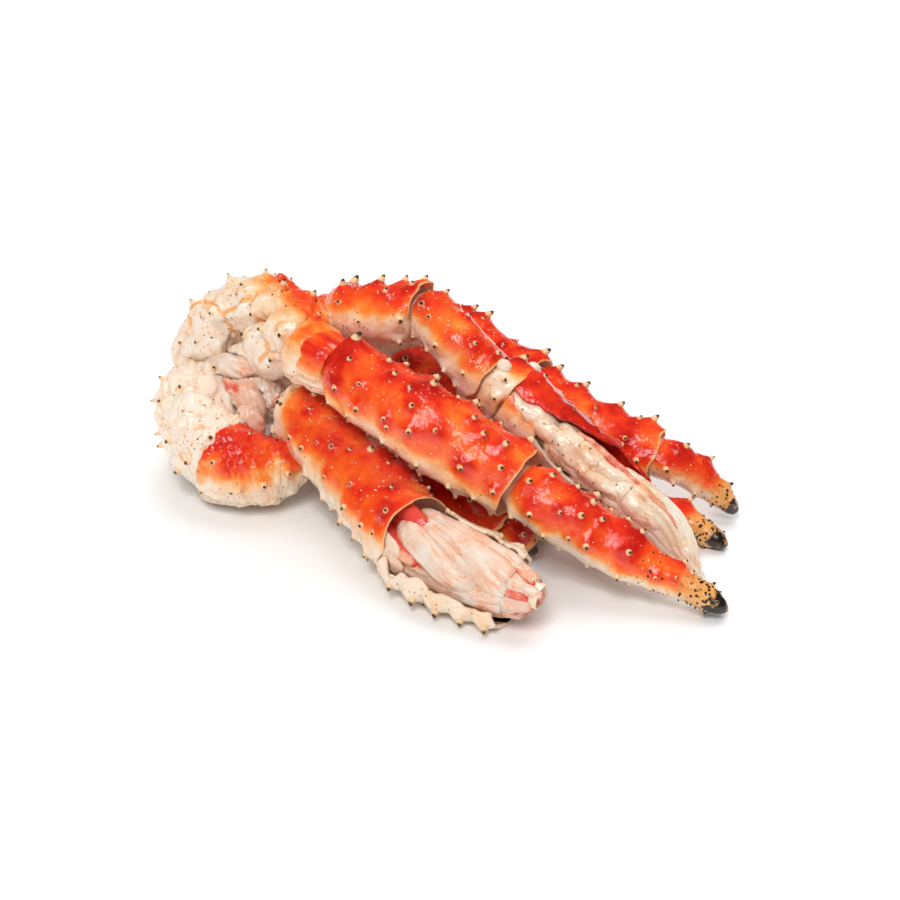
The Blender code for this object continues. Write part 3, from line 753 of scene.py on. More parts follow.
PALE_SHELL = shell_look("shell_cream", -0.05)
RED_SPINE = spine_look("spine_red")
BURNT_SPINE = spine_look("spine_burnt", burnt=0.38)
KINDS = {                   # each kind of shell: its look, its slot and its spines' look
    "red": (shell_look("shell_red"), "shell_red", RED_SPINE),
    "dark": (shell_look("shell_dark_red", 0.08), "shell_dark_red", spine_look("spine_dark_red", 0.08)),
    "pale": (PALE_SHELL, "shell_cream", RED_SPINE),
}
CARAPACE = carapace_look("shell_shoulder")
# colours of the pale dots: tubercles, and also painted glints
SPECKS_AND_GLINTS = skin_look("shell_flecks", (WHITE, CREAM, PEACH))
MEAT = meat_look("meat_white")
CRUST = meat_look("meat_crusted", CREAMY, True, (0.88, 0.42, 0.14), (0.62, 0.20, 0.05), (0.62, 0.24, 0.06))
STRAND = meat_look("meat_strands", STRINGY, crease_tint_and_shade=(0.88, 0.52, 0.24), deep=(0.80, 0.34, 0.14))
PINK = meat_look("flesh_pink", ROSY, deep=(0.75, 0.14, 0.10))
MEMBRANE = skin_look("flesh_white", PALE)
KNOB = skin_look("joint_white", PEARL)


# ---------------------------------------------------------------- shells and spines

BACK = math.radians(-12)    # the middle of a leg's red back, from the top and away from its belly
ROWS = ((-115, 24, 4.8), (-74, 21, 6.0), (-38, 18, 6.8), (2, 20, 6.0), (38, 22, 5.6), (74, 21, 5.2),
        (112, 17, 4.2), (155, 18, 3.8))  # angle in degrees, spacing and height in mm
LIP = ((0.15, -0.1), (0.2, -0.3), (0.1, -0.55), (-0.3, -0.8), (-1.5, -1.2), (-4.0, -2.0),
       (-8.0, -3.5))        # how a rim turns in: ahead and outwards, in mm


class Horns:
    """The spines of one piece, collected and then stood up together."""

    def __init__(self):
        self.rows = []

    def add(self, foot, aim, height, girth, red):
        """One more spine: its place, its direction, its sizes and the redness of its foot."""
        self.rows.append((*foot, *aim, height, girth, red))

    def lean(self, leg, s, a, base, lean, *sizes):
        """One more spine on a leg, leaning a little towards the leg's tip."""
        self.add(leg.spot(s, a, base), unit(leg.outward(s, a, base) + leg.way(s) * lean), *sizes)

    def planted(self, name, look, slot, sides=12, rings=9):
        """All the spines as one mesh."""
        if not self.rows:
            return
        rows = np.array(self.rows)
        mesh = bpy.data.meshes.new(name)
        mesh.vertices.add(len(rows))
        mesh.vertices.foreach_set("co", flat(rows[:, :3]))
        store(mesh, {"aim": rows[:, 3:6], "height": rows[:, 6], "girth": rows[:, 7], "red": rows[:, 8]})
        piece = applied(linked(name, mesh), HORN, Sides=sides, Rings=rings, Tip=0.36)
        piece.data.shade_smooth()
        placed(piece, slot, look)


def spines(leg, name, seed, rows, taper=0.0, tall=()):
    """The length, angle and height of each spine: tall ones, the CAD's own, and rows of smaller ones."""
    random = np.random.default_rng(seed + 900)
    start, end = leg.spans[name]
    kept = []
    for share, turn, height in tall:
        s, a = leg.along(name, share), math.radians(turn)
        kept.append((s, a, height * MM, leg.on_skin(name, s, a)))
    for foot, tip in leg.solids[name].spines:
        s, a, _ = (value[0] for value in leg.unrolled(foot))
        if all(np.linalg.norm(foot - other[3]) > SAME for other in kept):
            kept.append((s, a, np.linalg.norm(tip - foot), foot))
    for turn, spacing, height in rows:
        count = max(1, round((end - start) / (spacing * MM)))
        for k in range(count):
            share = (k + 0.5 + random.uniform(-0.3, 0.3)) / count
            s = leg.along(name, share)
            a = math.radians(turn + random.uniform(-8, 8))
            high = height * MM * random.uniform(0.65, 1.2) * (1 - taper * share)
            place = leg.on_skin(name, s, a)
            clear = min((np.linalg.norm(place - other[3]) for other in kept), default=1)
            if clear > CLEAR * (1 - 0.5 * taper * share):
                kept.append((s, a, high, place))
    return [spine[:3] for spine in kept]


def mounds(stood, length, angle, radius):
    """How far the shell rises under the spines, and how near each point is to one."""
    lift, near = np.zeros_like(radius), np.zeros_like(radius)
    for s, a, height in stood:
        away = np.hypot(length - s, np.abs(wrapped(angle - a)) * radius) / height
        swell = MOUND * np.exp(-(away / 0.70) ** 1.2) + 0.14 * np.exp(-(away / 1.8) ** 2)
        lift = np.maximum(lift, height * swell)
        near = np.maximum(near, np.exp(-(away / 1.5) ** 2))
    return lift, near


def stand_horns(leg, stood, skin_radius, redness_at):
    """A horn on each mound."""
    horns = Horns()
    for s, a, height in stood:
        horns.lean(leg, s, a, skin_radius(s, a) + SEAT * height, 0.35, (1 - SEAT) * height,
                   0.54 * height ** 0.8 * (5 * MM) ** 0.2, redness_at(a))
    return horns


def spinelets(leg, horns, skin_radius, low, high, seed):
    """Short dark spines crowded towards the end of a tip segment."""
    random = np.random.default_rng(seed + 50)
    for _ in range(int((high - low) / PITCH)):
        s = low + (high - low) * random.uniform() ** 0.7
        a = random.uniform(0, TURN)
        height = random.uniform(1.3, 2.1) * MM
        horns.lean(leg, s, a, skin_radius(s, a) - 0.7 * MM, 0.5, height, 0.62 * height, 0.3)


def flecks_and_glints(shell_piece, name, slot, seed):
    """Pale dots over the red of a shell: tubercles, and also painted glints."""
    dots = linked(name + "_flecks", shell_piece.data.copy())
    applied(dots, PIMPLE, Density=PIMPLES_AND_GLINTS, Radius=FLECK_AND_GLINT, Seed=seed)
    placed(dots, slot, SPECKS_AND_GLINTS, name)


def shell(leg, name, seed, kind="red", back=BACK, belly=-0.62, redness=0.64, base=0.03, tuck=3.0, neck=0.82,
          rim=0.9, uneven=1.5, keel=0.0, cuff=0.0, tip=False, char=None, pimply=True, tall=()):
    """A leg segment's shell, from its neck to its flared rim or its tip, and its spines.

    In mm: tuck is how far the neck reaches into the segment before, rim how far the rim flares,
    and uneven how ragged it is.  char is the share of the length from which a tip is burnt, and
    cuff how much of the red is missing at the neck.
    """
    look, slot, horn_look = KINDS[kind]
    start, end = leg.spans[name]
    tucked = start - tuck * MM
    length, angle = leg.sheet(name, tucked, end)

    def skin_radius(s, a):
        radius = leg.radius(name, s, a) * (neck + (1 - neck) * rise(tucked, start + NECK, s))
        radius = radius * (1 + keel * (np.exp(-(wrapped(a - back) / 0.5) ** 2) - 0.3))
        return radius if tip else radius + rim * MM * rise(end - FLARE, end, s)

    def redness_at(a):
        return base + redness * rise(belly, belly + 1.25, np.cos(a - back))

    radius = skin_radius(length, angle)
    if tip:
        blunt = 1.4 * radius[-1].mean()
        closing = np.clip((length - end + blunt) / blunt, 0, 0.999)
        radius = radius * np.sqrt(1 - closing ** 2)
    stood = spines(leg, name, seed, ROWS, 0.55 if tip else 0.0, tall)
    lift, near = mounds(stood, length, angle, radius)
    radius = radius + lift
    edge = 0 * length if tip else rise(end - EDGE, end, length)
    length = length + uneven * MM * ragged(angle, seed) * edge
    drift = DRIFT * ragged(angle, seed + 7)
    cup = cuff * (1 - rise(start + CUFF[0], start + CUFF[1], length + drift))
    length = length - drift * cup
    burn = 0 * length if char is None else rise(leg.along(name, char), end - 2 * MM, length)
    red = redness_at(angle) * (1 - cup) * (1 - 0.35 * burn)
    points = leg.spot(length, angle, radius)
    inner = 1 - rise(start - 0.5 * MM, start + 2.5 * MM, length)
    if not tip:
        turned = [leg.spot(length[-1] + x * MM, angle[-1], radius[-1] + y * MM) for x, y in LIP]
        points = np.concatenate((points, np.array(turned)))
        deeper = np.arange(len(LIP))[:, None] * np.ones_like(angle[-1])
        red = np.concatenate((red, np.full_like(deeper, 0.1)))
        near, burn = (np.concatenate((m, 0 * deeper)) for m in (near, burn))
        edge = np.concatenate((rise(0.96, 1.0, edge), np.ones_like(deeper)))
        inner = np.concatenate((inner, rise(3, 5, deeper)))
    marks = {"red": red + 0.26 * near * rise(0.2, 0.5, red), "rim": edge, "char": burn, "inner": inner,
             "rough": 1 - near, "pimply": rise(0.35, 0.6, red) * (1 - near) * (1 - edge) * (1 - burn)}
    piece = weathered(grid_mesh(name + "_shell", points, marks), 6, 1.0, 1.3, 0.22)
    placed(piece, slot, look, name)
    singed = end if char is None else leg.along(name, char + 0.12)
    horns = stand_horns(leg, [s for s in stood if s[0] < singed], skin_radius, redness_at)
    horns.planted(name + "_spines", horn_look, slot)
    if char is not None:
        horns = stand_horns(leg, [s for s in stood if s[0] >= singed], skin_radius, redness_at)
        spinelets(leg, horns, skin_radius, leg.along(name, char - 0.12), end - 7 * MM, seed)
        horns.planted(name + "_spinelets", BURNT_SPINE, slot, sides=7, rings=4)
    # pale raised dots over the red: tubercles, and also painted glints
    if pimply:
        flecks_and_glints(piece, name, slot, seed)


def hip(leg, name, back, seed, bands=1, redness=0.7, uneven=1.0, tuck=4.0, base=0.03):
    """A band of the hip: a swollen ring with creases that run along the leg."""
    start, end = leg.spans[name]
    length, angle = leg.sheet(name, start - tuck * MM, end + 2 * MM, 2)
    share = (length - length[0, 0]) / (length[-1, 0] - length[0, 0])
    ring = np.abs(np.sin(math.pi * bands * (share + 0.08 * ragged(angle, seed + 2)))) ** 0.6
    creases = 0.5 * np.sin(11 * angle + 4 * ragged(angle, seed))
    creases = creases + 0.3 * np.sin(23 * angle + 6 * ragged(angle, seed + 1))
    radius = leg.radius(name, length, angle) - 2.0 * MM * (1 - ring) + 1.2 * MM * ring
    radius = radius + 0.55 * MM * creases * ring
    length = length + uneven * MM * ragged(angle, seed) * rise(0.5, 1, share)
    lit = rise(-0.75, 0.6, np.cos(angle - math.radians(back)))
    marks = {"red": base + redness * lit * (0.6 + 0.4 * ring) * (1 + 0.2 * creases),
             "rim": rise(0.9, 1.0, share) * 0.8, "rough": np.ones_like(share)}
    piece = grid_mesh(name + "_band", leg.spot(length, angle, radius), marks)
    placed(weathered(piece, 7, 1.6, 1.6, 0.5), "shell_cream", PALE_SHELL, name)


def gutter(leg, name, held, back, seed, borders, rows, redness=0.0, jagged=0.16, tall=(), base=0.04):
    """A shell that is open on one side, with ragged edges, laid round the meat it holds.

    borders gives, at shares of the length, the angles in degrees from which and to which it reaches.
    """
    solid = leg.solids.setdefault(name, Solid(name))
    along, turn, away = leg.unrolled(solid.verts)
    start, end = along.min(), along.max()
    middle = np.angle(np.exp(1j * turn).mean())
    low, high = np.percentile(wrapped(turn - middle), (2, 98))
    proud = np.percentile(away - leg.radius(held, along, turn), 80)
    rows_across = np.linspace(0, 1, int((high - low) * away.mean() / PITCH))
    rows_along = np.linspace(0, 1, int((end - start) / PITCH))
    share, across = np.meshgrid(rows_along, rows_across, indexing="ij")
    length = start + (end - start) * share
    low, high = (np.radians(np.interp(share, borders[0], side)) - middle for side in borders[1:])
    low = low + jagged * ragged(length / (18 * MM), seed, 14)
    high = high + jagged * ragged(length / (15 * MM), seed + 1, 14)
    angle = middle + low + (high - low) * across

    def skin_radius(s, a):
        return leg.radius(held, s, a) + proud

    def redness_at(a):
        return base + redness * rise(-0.5, 0.7, np.cos(a - math.radians(back)))

    radius = skin_radius(length, angle)
    leg.spans[name] = (start, end)
    leg.girths[name] = leg.girths[held]
    stood = []
    for s, a, height in spines(leg, name, seed, rows, tall=tall):
        row = int(np.clip((s - start) / (end - start), 0, 0.999) * len(low))
        if (a - middle - low[row, 0] - 0.15) % TURN < high[row, 0] - low[row, 0] - 0.3:
            stood.append((s, a, height))
    lift, near = mounds(stood, length, angle, radius)
    border = 1 - rise(0, 0.12, np.minimum(across, 1 - across))
    length = length + 2.5 * MM * ragged(angle * 2, seed + 2, 12) * rise(0.75, 1, share)
    points = leg.spot(length, angle, radius + lift - 0.5 * MM * border)
    marks = {"red": redness_at(angle), "rim": 0.6 * border, "rough": 1 - near}
    piece = weathered(grid_mesh(name + "_shell", points, marks, closed=False), 7, 1.6, 1.6, 0.35)
    wall = piece.modifiers.new("wall", "SOLIDIFY")
    wall.thickness = WALL
    wall.offset = 0.0
    placed(settled(piece), "shell_cream", PALE_SHELL, name)
    stand_horns(leg, stood, skin_radius, redness_at).planted(name + "_spines", RED_SPINE, "shell_cream")


# ---------------------------------------------------------------- meat

def core(leg, name, start, end, shrink, seed, pink):
    """The body of a leg's meat, in fibres that run lengthwise, closed at both ends."""
    length, angle = leg.sheet(name, start, end)
    radius = leg.radius(name, length, angle) * shrink
    grain = rolled(radius, angle, length / 7)
    deep = ripple(grain, 9 * MM, seed)
    fine = 0.7 * ripple(grain, 3 * MM, seed + 1) + 0.35 * ripple(grain, 1.5 * MM, seed + 2)
    radius = radius + 0.9 * MM * (1.6 * deep + fine)
    close = np.minimum(length - start, end - length) / (0.8 * leg.mean_girth(name))
    radius = radius * np.sqrt(np.clip(1 - (1 - np.clip(close, 0, 1)) ** 2, 0.001, 1))
    reddened = pink * rise(end - 8 * MM, end - 26 * MM, length)
    # the marked redness: the given pinkness away from the end, and painted shade in the troughs of the deep
    # ripple
    marks = {"grain": rolled(radius, angle, length), "rough": np.ones_like(radius),
             "fold": np.maximum(reddened, rise(0.15, -0.55, deep) * 0.85)}
    piece = grid_mesh(name + "_core", leg.spot(length, angle, radius), marks)
    placed(weathered(piece, 5, 1.5, 1.2, 0.4), "meat_white", MEAT, name)


def lobe(leg, name, base, path, sizes, look, seed, fold, sink=0.35, blunt=0.6, crumpled=0.16, drawn=8.0,
         hold=0.0, crevice=(0.90, 0.30)):
    """A bundle of muscle fibres: a spindle laid on the meat from one spot to another.

    path gives (length, angle) at its start, middle and end, and sizes its half width and depth.
    It is sunk into the meat by a share of its depth, and blunt is how far its end closes in.
    """
    width, depth = sizes
    t = np.linspace(0, 1, int((path[-1][0] - path[0][0]) * 1.15 / PITCH) + 8)
    places = np.linspace(0, 1, len(path))
    s, a = (softened(np.interp(t, places, values)[:, None], 30)[:, 0] for values in zip(*path))
    ground = leg.radius(base, np.minimum(s, leg.spans[base][1] - hold), a)
    middle = leg.spot(s, a, ground - sink * depth)
    ahead = unit(np.gradient(middle, axis=0))
    wide = unit(np.cross(ahead, leg.outward(s, a, ground)))
    out = np.cross(wide, ahead)
    thick = np.sqrt(1 - (1 - np.clip(t / 0.3, 0.01, 1)) ** 2)
    thick = thick * np.sqrt(1 - blunt * np.clip((t - 0.75) / 0.25, 0, 1) ** 2)
    cols = int(2.6 * (width + depth) * 1.2 / PITCH)
    k, ring = np.meshgrid(np.arange(len(t)), np.arange(cols) * TURN / cols, indexing="ij")
    grain = rolled(width, ring, s[k] / drawn)
    fibres = ripple(grain, 4.5 * MM, seed) * 0.5 + ripple(grain, 2.0 * MM, seed + 1) * 0.3
    fibres = fibres + 0.18 * ripple(grain, 1.1 * MM, seed + 2)
    swell = 1 + crumpled * fibres + 0.14 * ripple(grain, 11 * MM, seed + 3)
    x = np.cos(ring) * width * thick[k] * swell
    y = np.sin(ring) * depth * thick[k] * swell
    points = middle[k] + wide[k] * x[..., None] + out[k] * y[..., None]
    # painted shade on the lower sides where bundles meet, plus the bundle's own redness and a redder end
    tint_and_shade = rise(*crevice, np.sin(ring)) * 0.85 + fold + 0.3 * rise(0.92, 1, t[k])
    marks = {"grain": np.stack((x, y, s[k]), axis=-1), "rough": np.ones_like(x),
             "fold": np.clip(tint_and_shade, 0, 1.2)}
    placed(weathered(grid_mesh(name, points, marks), 4, 1.0, 1.1, 0.35), "meat_white", look)


def bundles(leg, base, reach, look, seed, name, table, **options):
    """Bundles of meat laid over a leg's core.

    Each row gives a path of shares of the reach and angles in degrees, half sizes in mm and redness.
    """
    start, end = reach
    for k, (path, width, depth, fold) in enumerate(table):
        path = [(start + share * (end - start), math.radians(angle)) for share, angle in path]
        sizes = (width * MM, depth * MM)
        lobe(leg, f"{name}_{k + 1}", base, path, sizes, look, seed + 7 * k, fold, **options)


STUB = ((-12, 3.4), (-7, 4.4), (-2, 5.0), (0.6, 5.3), (1.2, 4.9), (0.6, 4.3), (-1.8, 3.8), (-4, 2.8),
        (-5.2, 1.0))        # the tendon sheath's outline: ahead and radius, in mm


def stub(leg, base, s, angle, depth):
    """The open end of the tendon sheath in the meat, a short tube along the leg."""
    a = math.radians(angle)
    middle = leg.spot(s, a, leg.radius(base, s - 12 * MM, a) - depth)
    out, ahead = leg.outward(s, a), leg.way(s)
    turns = np.arange(36) * TURN / 36
    ring = np.outer(np.cos(turns), np.cross(out, ahead)) * 1.25 + np.outer(np.sin(turns), out)
    points = softened(np.array([middle + x * MM * ahead + r * MM * ring for x, r in STUB]), 1)
    # painted shade that deepens into the sheath's hollow, carried by the meat's redness mark
    inside = np.linspace(0, 1.2, len(STUB))[:, None] ** 3 * np.ones(36)
    piece = grid_mesh(base + "_stub", points, {"grain": points, "fold": 0.6 * inside})
    placed(piece, "meat_white", STRAND)


def knob(leg, name, share, angle, sizes, seed):
    """A smooth white joint knob, half sunk in the leg: its half sizes along, across and out."""
    s, a = leg.along(name, share), math.radians(angle)
    out, ahead = leg.outward(s, a), leg.way(s)
    turns, rows = np.meshgrid(np.arange(40) * TURN / 40, np.linspace(0.03, math.pi - 0.03, 26))
    parts = (np.cos(rows), np.sin(rows) * np.cos(turns), np.sin(rows) * np.sin(turns))
    points = leg.on_skin(name, s, a)
    for part, size, axis in zip(parts, sizes, (ahead, np.cross(out, ahead), out)):
        points = points + np.multiply.outer(part * size * MM, axis)
    points = points + 0.25 * MM * ripple(points, 4 * MM, seed)[..., None] * out
    placed(grid_mesh(name + "_knob", points, {}), "shell_cream", KNOB)


# ---------------------------------------------------------------- shoulder and flesh

def fused(name, nodes, voxel, look, slot, smooth, sculpt, marks, lumps=(), studs=None, seed=0):
    """The CAD solids of these nodes as one soft skin, sculpted and marked by functions of place.

    lumps adds ellipsoids, each a middle and three radii in mm; studs gives the spacing and the
    height of its spines, and a function that tells which points may carry one.
    """
    whole = bmesh.new()
    for node in nodes:
        whole.from_mesh(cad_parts[node].data)
    bmesh.ops.remove_doubles(whole, verts=whole.verts, dist=WELD)
    for middle, radii in lumps:
        size = Matrix.Translation(Vector(middle) * MM) @ Matrix.Diagonal((*(r * MM for r in radii), 1.0))
        bmesh.ops.create_icosphere(whole, subdivisions=4, radius=1.0, matrix=size)
    piece = linked(name, bpy.data.meshes.new(name))
    whole.to_mesh(piece.data)
    whole.free()
    solid = piece.modifiers.new("fuse", "REMESH")
    solid.mode = "VOXEL"
    solid.voxel_size = voxel * MM
    even = piece.modifiers.new("smooth", "SMOOTH")
    even.factor = 0.5
    even.iterations = smooth
    mesh = settled(piece).data
    points, normals = read(mesh, "co"), read(mesh, "normal")
    values = marks(points, normals)
    shaped = sculpt(points, normals)
    if studs is not None:
        shaped = studded(name, points, normals, shaped, values["red"], studs, seed)
    store(mesh, values)
    mesh.vertices.foreach_set("co", flat(shaped))
    mesh.update()
    mesh.shade_smooth()
    placed(piece, slot, look, *nodes)


def studded(name, points, normals, shaped, red, studs, seed):
    """The skin raised under scattered spines, which are stood on it."""
    gap, tall, where = studs
    random = np.random.default_rng(seed + 70)
    spots = np.flatnonzero(where(points, normals))
    lift = np.zeros(len(points))
    horns = Horns()
    for k in spots[scattered(points[spots], gap * MM, seed)]:
        height = tall * MM * random.uniform(0.6, 1.25)
        away = np.linalg.norm(points - points[k], axis=1) / height
        lift = np.maximum(lift, 0.6 * height * np.exp(-(away / 0.95) ** 1.1))
        foot = shaped[k] + normals[k] * SEAT * height
        horns.add(foot, normals[k], (1 - SEAT) * height, 0.56 * height, red[k])
    horns.planted(name + "_spines", RED_SPINE, "shell_cream")
    return shaped + normals * lift[:, None]


def scattered(points, gap, seed, tries=4000):
    """Some of the points, all at least the gap apart."""
    kept = []
    for k in np.random.default_rng(seed).permutation(len(points))[:tries]:
        if all(np.linalg.norm(points[k] - points[j]) > gap for j in kept):
            kept.append(k)
    return kept


def plated(points, centres, width):
    """How far each point is from the seams between plates round the centres, up to 1."""
    away = np.sort(np.linalg.norm(points[:, None] - centres[None], axis=2), axis=1)
    return np.clip((away[:, 1] - away[:, 0]) / width, 0, 1)


def streak(points, start, end, width):
    """How near each point is to the line between two places, 1 on it; all in mm."""
    start, end = np.array(start) * MM, np.array(end) * MM
    along = np.clip((points - start) @ (end - start) / ((end - start) @ (end - start)), 0, 1)
    away = np.linalg.norm(points - start - along[:, None] * (end - start), axis=1)
    return np.exp(-(away / (width * MM)) ** 2)


def lumpy(seed):
    """A sculpting function that makes a skin lumpy and creased."""
    def sculpt(points, normals):
        raised = 0.9 * ripple(points, 12 * MM, seed) + 0.4 * ripple(points, 3.5 * MM, seed + 1)
        raised = raised + 0.9 * np.abs(ripple(points, 9 * MM, seed + 5)) + 0.5
        return points + normals * raised[:, None] * MM
    return sculpt


def creased(coarse, fine, seed, swell=0.0):
    """A sculpting function that makes a piece of flesh folded along its own length; in mm."""
    def sculpt(points, normals):
        middle = points.mean(axis=0)
        axis = np.linalg.svd(points - middle, full_matrices=False)[2][0]
        fibres = points - 0.78 * ((points - middle) @ axis)[:, None] * axis
        raised = np.abs(ripple(fibres, 7 * MM, seed)) - 0.5 + 0.5 * ripple(points, 11 * MM, seed + 2)
        raised = coarse * raised + fine * ripple(fibres, 2.6 * MM, seed + 1) + swell
        return points + normals * raised[:, None] * MM
    return sculpt


PLATE = 25 * MM             # spacing of the shoulder's plates
DOME = (58 * MM, 70 * MM)   # the heights between which the shoulder's lobe turns into its dome
LUMPS = (((-93, -36, 67), (16, 11, 15)), ((-77, -33, 80), (16, 13, 14)), ((-131, -41, 66), (10, 8, 18)),
         ((-142, -38, 66), (7, 7, 11)), ((-146, -43, 58), (6, 6, 9)), ((-147, -48, 50), (7, 6, 9)))
HOLLOW = np.array((-96, -42, 52)) * MM


def shoulder_plates(points):
    """The shoulder's plates: 0 on the seams between them and 1 inside."""
    middles = points[scattered(points, PLATE, 4, 800)]
    return plated(points + 1.5 * MM * ripple(points, 8 * MM, 9)[:, None], middles, 6 * MM)


def shoulder_shape(points, normals):
    """Plates on the dome, ripples and long creases, in mm."""
    dome = rise(*DOME, points[:, 2])
    inside = np.maximum(shoulder_plates(points), 1 - dome)
    fibres = points * (1.0, 1.0, 0.35)
    raised = 1.0 * rise(0, 0.4, inside) + 0.9 * ripple(points, 14 * MM, 61)
    raised = raised + 0.6 * (1 - dome) * ripple(fibres, 8 * MM, 64)
    raised = raised + (0.1 + 0.2 * dome) * ripple(points, 5 * MM, 62)
    raised = raised + 0.12 * ripple(points, 2.4 * MM, 63)
    raised = raised - 1.3 * rise(0.14, 0, np.abs(ripple(fibres, 17 * MM, 65)))
    return points + normals * (raised - 0.8)[:, None] * MM


def shoulder_marks(points, normals):
    """A red crest with a halo on the dome, a warmer far edge, and the seams."""
    seam = (1 - rise(0.05, 0.8, shoulder_plates(points))) * rise(*DOME, points[:, 2])
    edge = rise(-116 * MM, -130 * MM, points[:, 0])
    crest = streak(points, (-104, -14, 98), (-66, -24, 94), 10)
    halo = streak(points, (-104, -22, 92), (-66, -36, 84), 19)
    return {"red": 0.02 + 0.74 * crest + 0.26 * halo + 0.13 * edge, "seam": seam * (1 - crest)}


def shoulder_outside(points, normals):
    """Where the shoulder may carry spines: not underneath, and not in the hollow by the flesh."""
    hollow = np.linalg.norm(points - HOLLOW, axis=1) < 22 * MM
    return (points[:, 2] > 6 * MM) & (normals[:, 2] > -0.3) & ~hollow


def hip_marks(points, normals):
    """Red above, cream below, with an uneven border."""
    high = points[:, 2] + 7 * MM * ripple(points, 13 * MM, 71)
    return {"red": 0.05 + 0.72 * rise(14 * MM, 36 * MM, high)}


def hip_outside(points, normals):
    """Where the hip bands may carry spines: not underneath."""
    return (points[:, 2] > 5 * MM) & (normals[:, 2] > -0.5)


def flap_marks(points, normals):
    """Pink only in one streak."""
    return {"grain": points, "fold": streak(points, (-108, -56, 50), (-98, -54, 50), 5)}


def plain_marks(points, normals):
    """Evenly a little pink."""
    return {"grain": points, "fold": np.full(len(points), 0.25)}


# ---------------------------------------------------------------- the whole cluster

leg_b = Leg("hip_b_1", "hip_b_2", "b_merus", "b_dactyl")
leg_a = Leg("a_merus", "a_meat")
leg_c = Leg("hip_c", "c_merus", "c_carpus", "c_collar", "c_meat")
leg_d = Leg("hip_d", "d_merus", "d_carpus", "d_propodus", "d_dactyl")
leg_e = Leg("hip_e", "e_merus", "e_propodus", "e_dactyl")
leg_f = Leg("f_carpus", "f_merus", "f_dactyl")
leg_g = Leg("g_propodus")

# each tall spine is a share of the segment's length, an angle in degrees and a height in mm
shell(leg_b, "b_merus", 3, belly=-0.92,
      tall=((0.05, -12, 11.5), (0.1, 22, 5.0), (0.42, -42, 7.0), (0.93, -38, 7.5)))
shell(leg_b, "b_dactyl", 4, belly=-0.92, tip=True, char=0.68, tuck=6, neck=0.74, keel=0.08)
shell(leg_a, "a_merus", 5, uneven=3.4, neck=0.97, cuff=0.75,
      tall=((0.03, 2, 9.0), (0.02, 46, 7.0), (0.12, -42, 5.5)))
shell(leg_c, "c_merus", 6, rim=0.5, belly=-0.34, redness=0.60,
      tall=((0.08, -35, 11.0), (0.52, -36, 7.5), (0.96, -34, 6.5)))
shell(leg_c, "c_carpus", 7, belly=-0.42, redness=0.60)
shell(leg_d, "d_merus", 8)
shell(leg_d, "d_carpus", 9, tall=((0.32, -35, 8.0), (0.90, -35, 8.5)))
shell(leg_d, "d_propodus", 10, belly=-0.85,
      tall=((0.08, -35, 7.0), (0.32, -35, 7.0), (0.62, -35, 6.5), (0.88, -33, 7.5)))
shell(leg_d, "d_dactyl", 11, tip=True, char=0.48, tuck=5)
shell(leg_e, "e_merus", 12, "dark", belly=-0.9)
shell(leg_e, "e_propodus", 13, "dark", belly=-0.9)
shell(leg_e, "e_dactyl", 14, tip=True, char=0.35, tuck=5)
shell(leg_f, "f_carpus", 15, "dark")
shell(leg_f, "f_merus", 16, "dark", belly=-0.9)
shell(leg_f, "f_dactyl", 17, "dark", tip=True, char=0.6, tuck=4)
shell(leg_g, "g_propodus", 18, "pale", 0.0, redness=0.1, tip=True, pimply=False)
shell(leg_c, "c_collar", 19, "pale", math.radians(-48), belly=0.0, redness=0.66, base=0.17, uneven=2,
      pimply=False)
hip(leg_b, "hip_b_1", -38, 21, bands=2, tuck=10, redness=0.50, base=0.10, uneven=2)
hip(leg_b, "hip_b_2", -15, 22, redness=0.66, base=0.12, uneven=2)
hip(leg_c, "hip_c", -30, 26)
hip(leg_d, "hip_d", -30, 27)
hip(leg_e, "hip_e", -30, 28)

TRAY = ((0.0, 0.3, 0.7, 1.0), (98, 96, 102, 104), (302, 320, 328, 332))
STRIP = ((0.0, 0.1, 0.25, 0.42, 0.6, 0.7, 1.0), (52, 58, 72, 95, 112, 118, 122),
         (404, 400, 390, 370, 350, 325, 300))
gutter(leg_a, "a_tray", "a_meat", 180, 31, TRAY, jagged=0.26, base=0.12,
       rows=((108, 20, 3.5), (150, 15, 5.0), (180, 18, 6.0), (205, 20, 4.0)),
       tall=((0.13, 118, 8.0), (0.32, 121, 9.0), (0.52, 124, 9.5), (0.71, 127, 8.5), (0.92, 122, 8.5),
             (0.62, -62, 6.0), (0.86, -56, 6.0)))
gutter(leg_c, "c_shell", "c_meat", -25, 32, STRIP, redness=0.85, base=0.14,
       rows=((-62, 20, 5.0), (-34, 19, 5.5), (-8, 20, 4.0), (80, 16, 3.5), (110, 16, 3.5)))

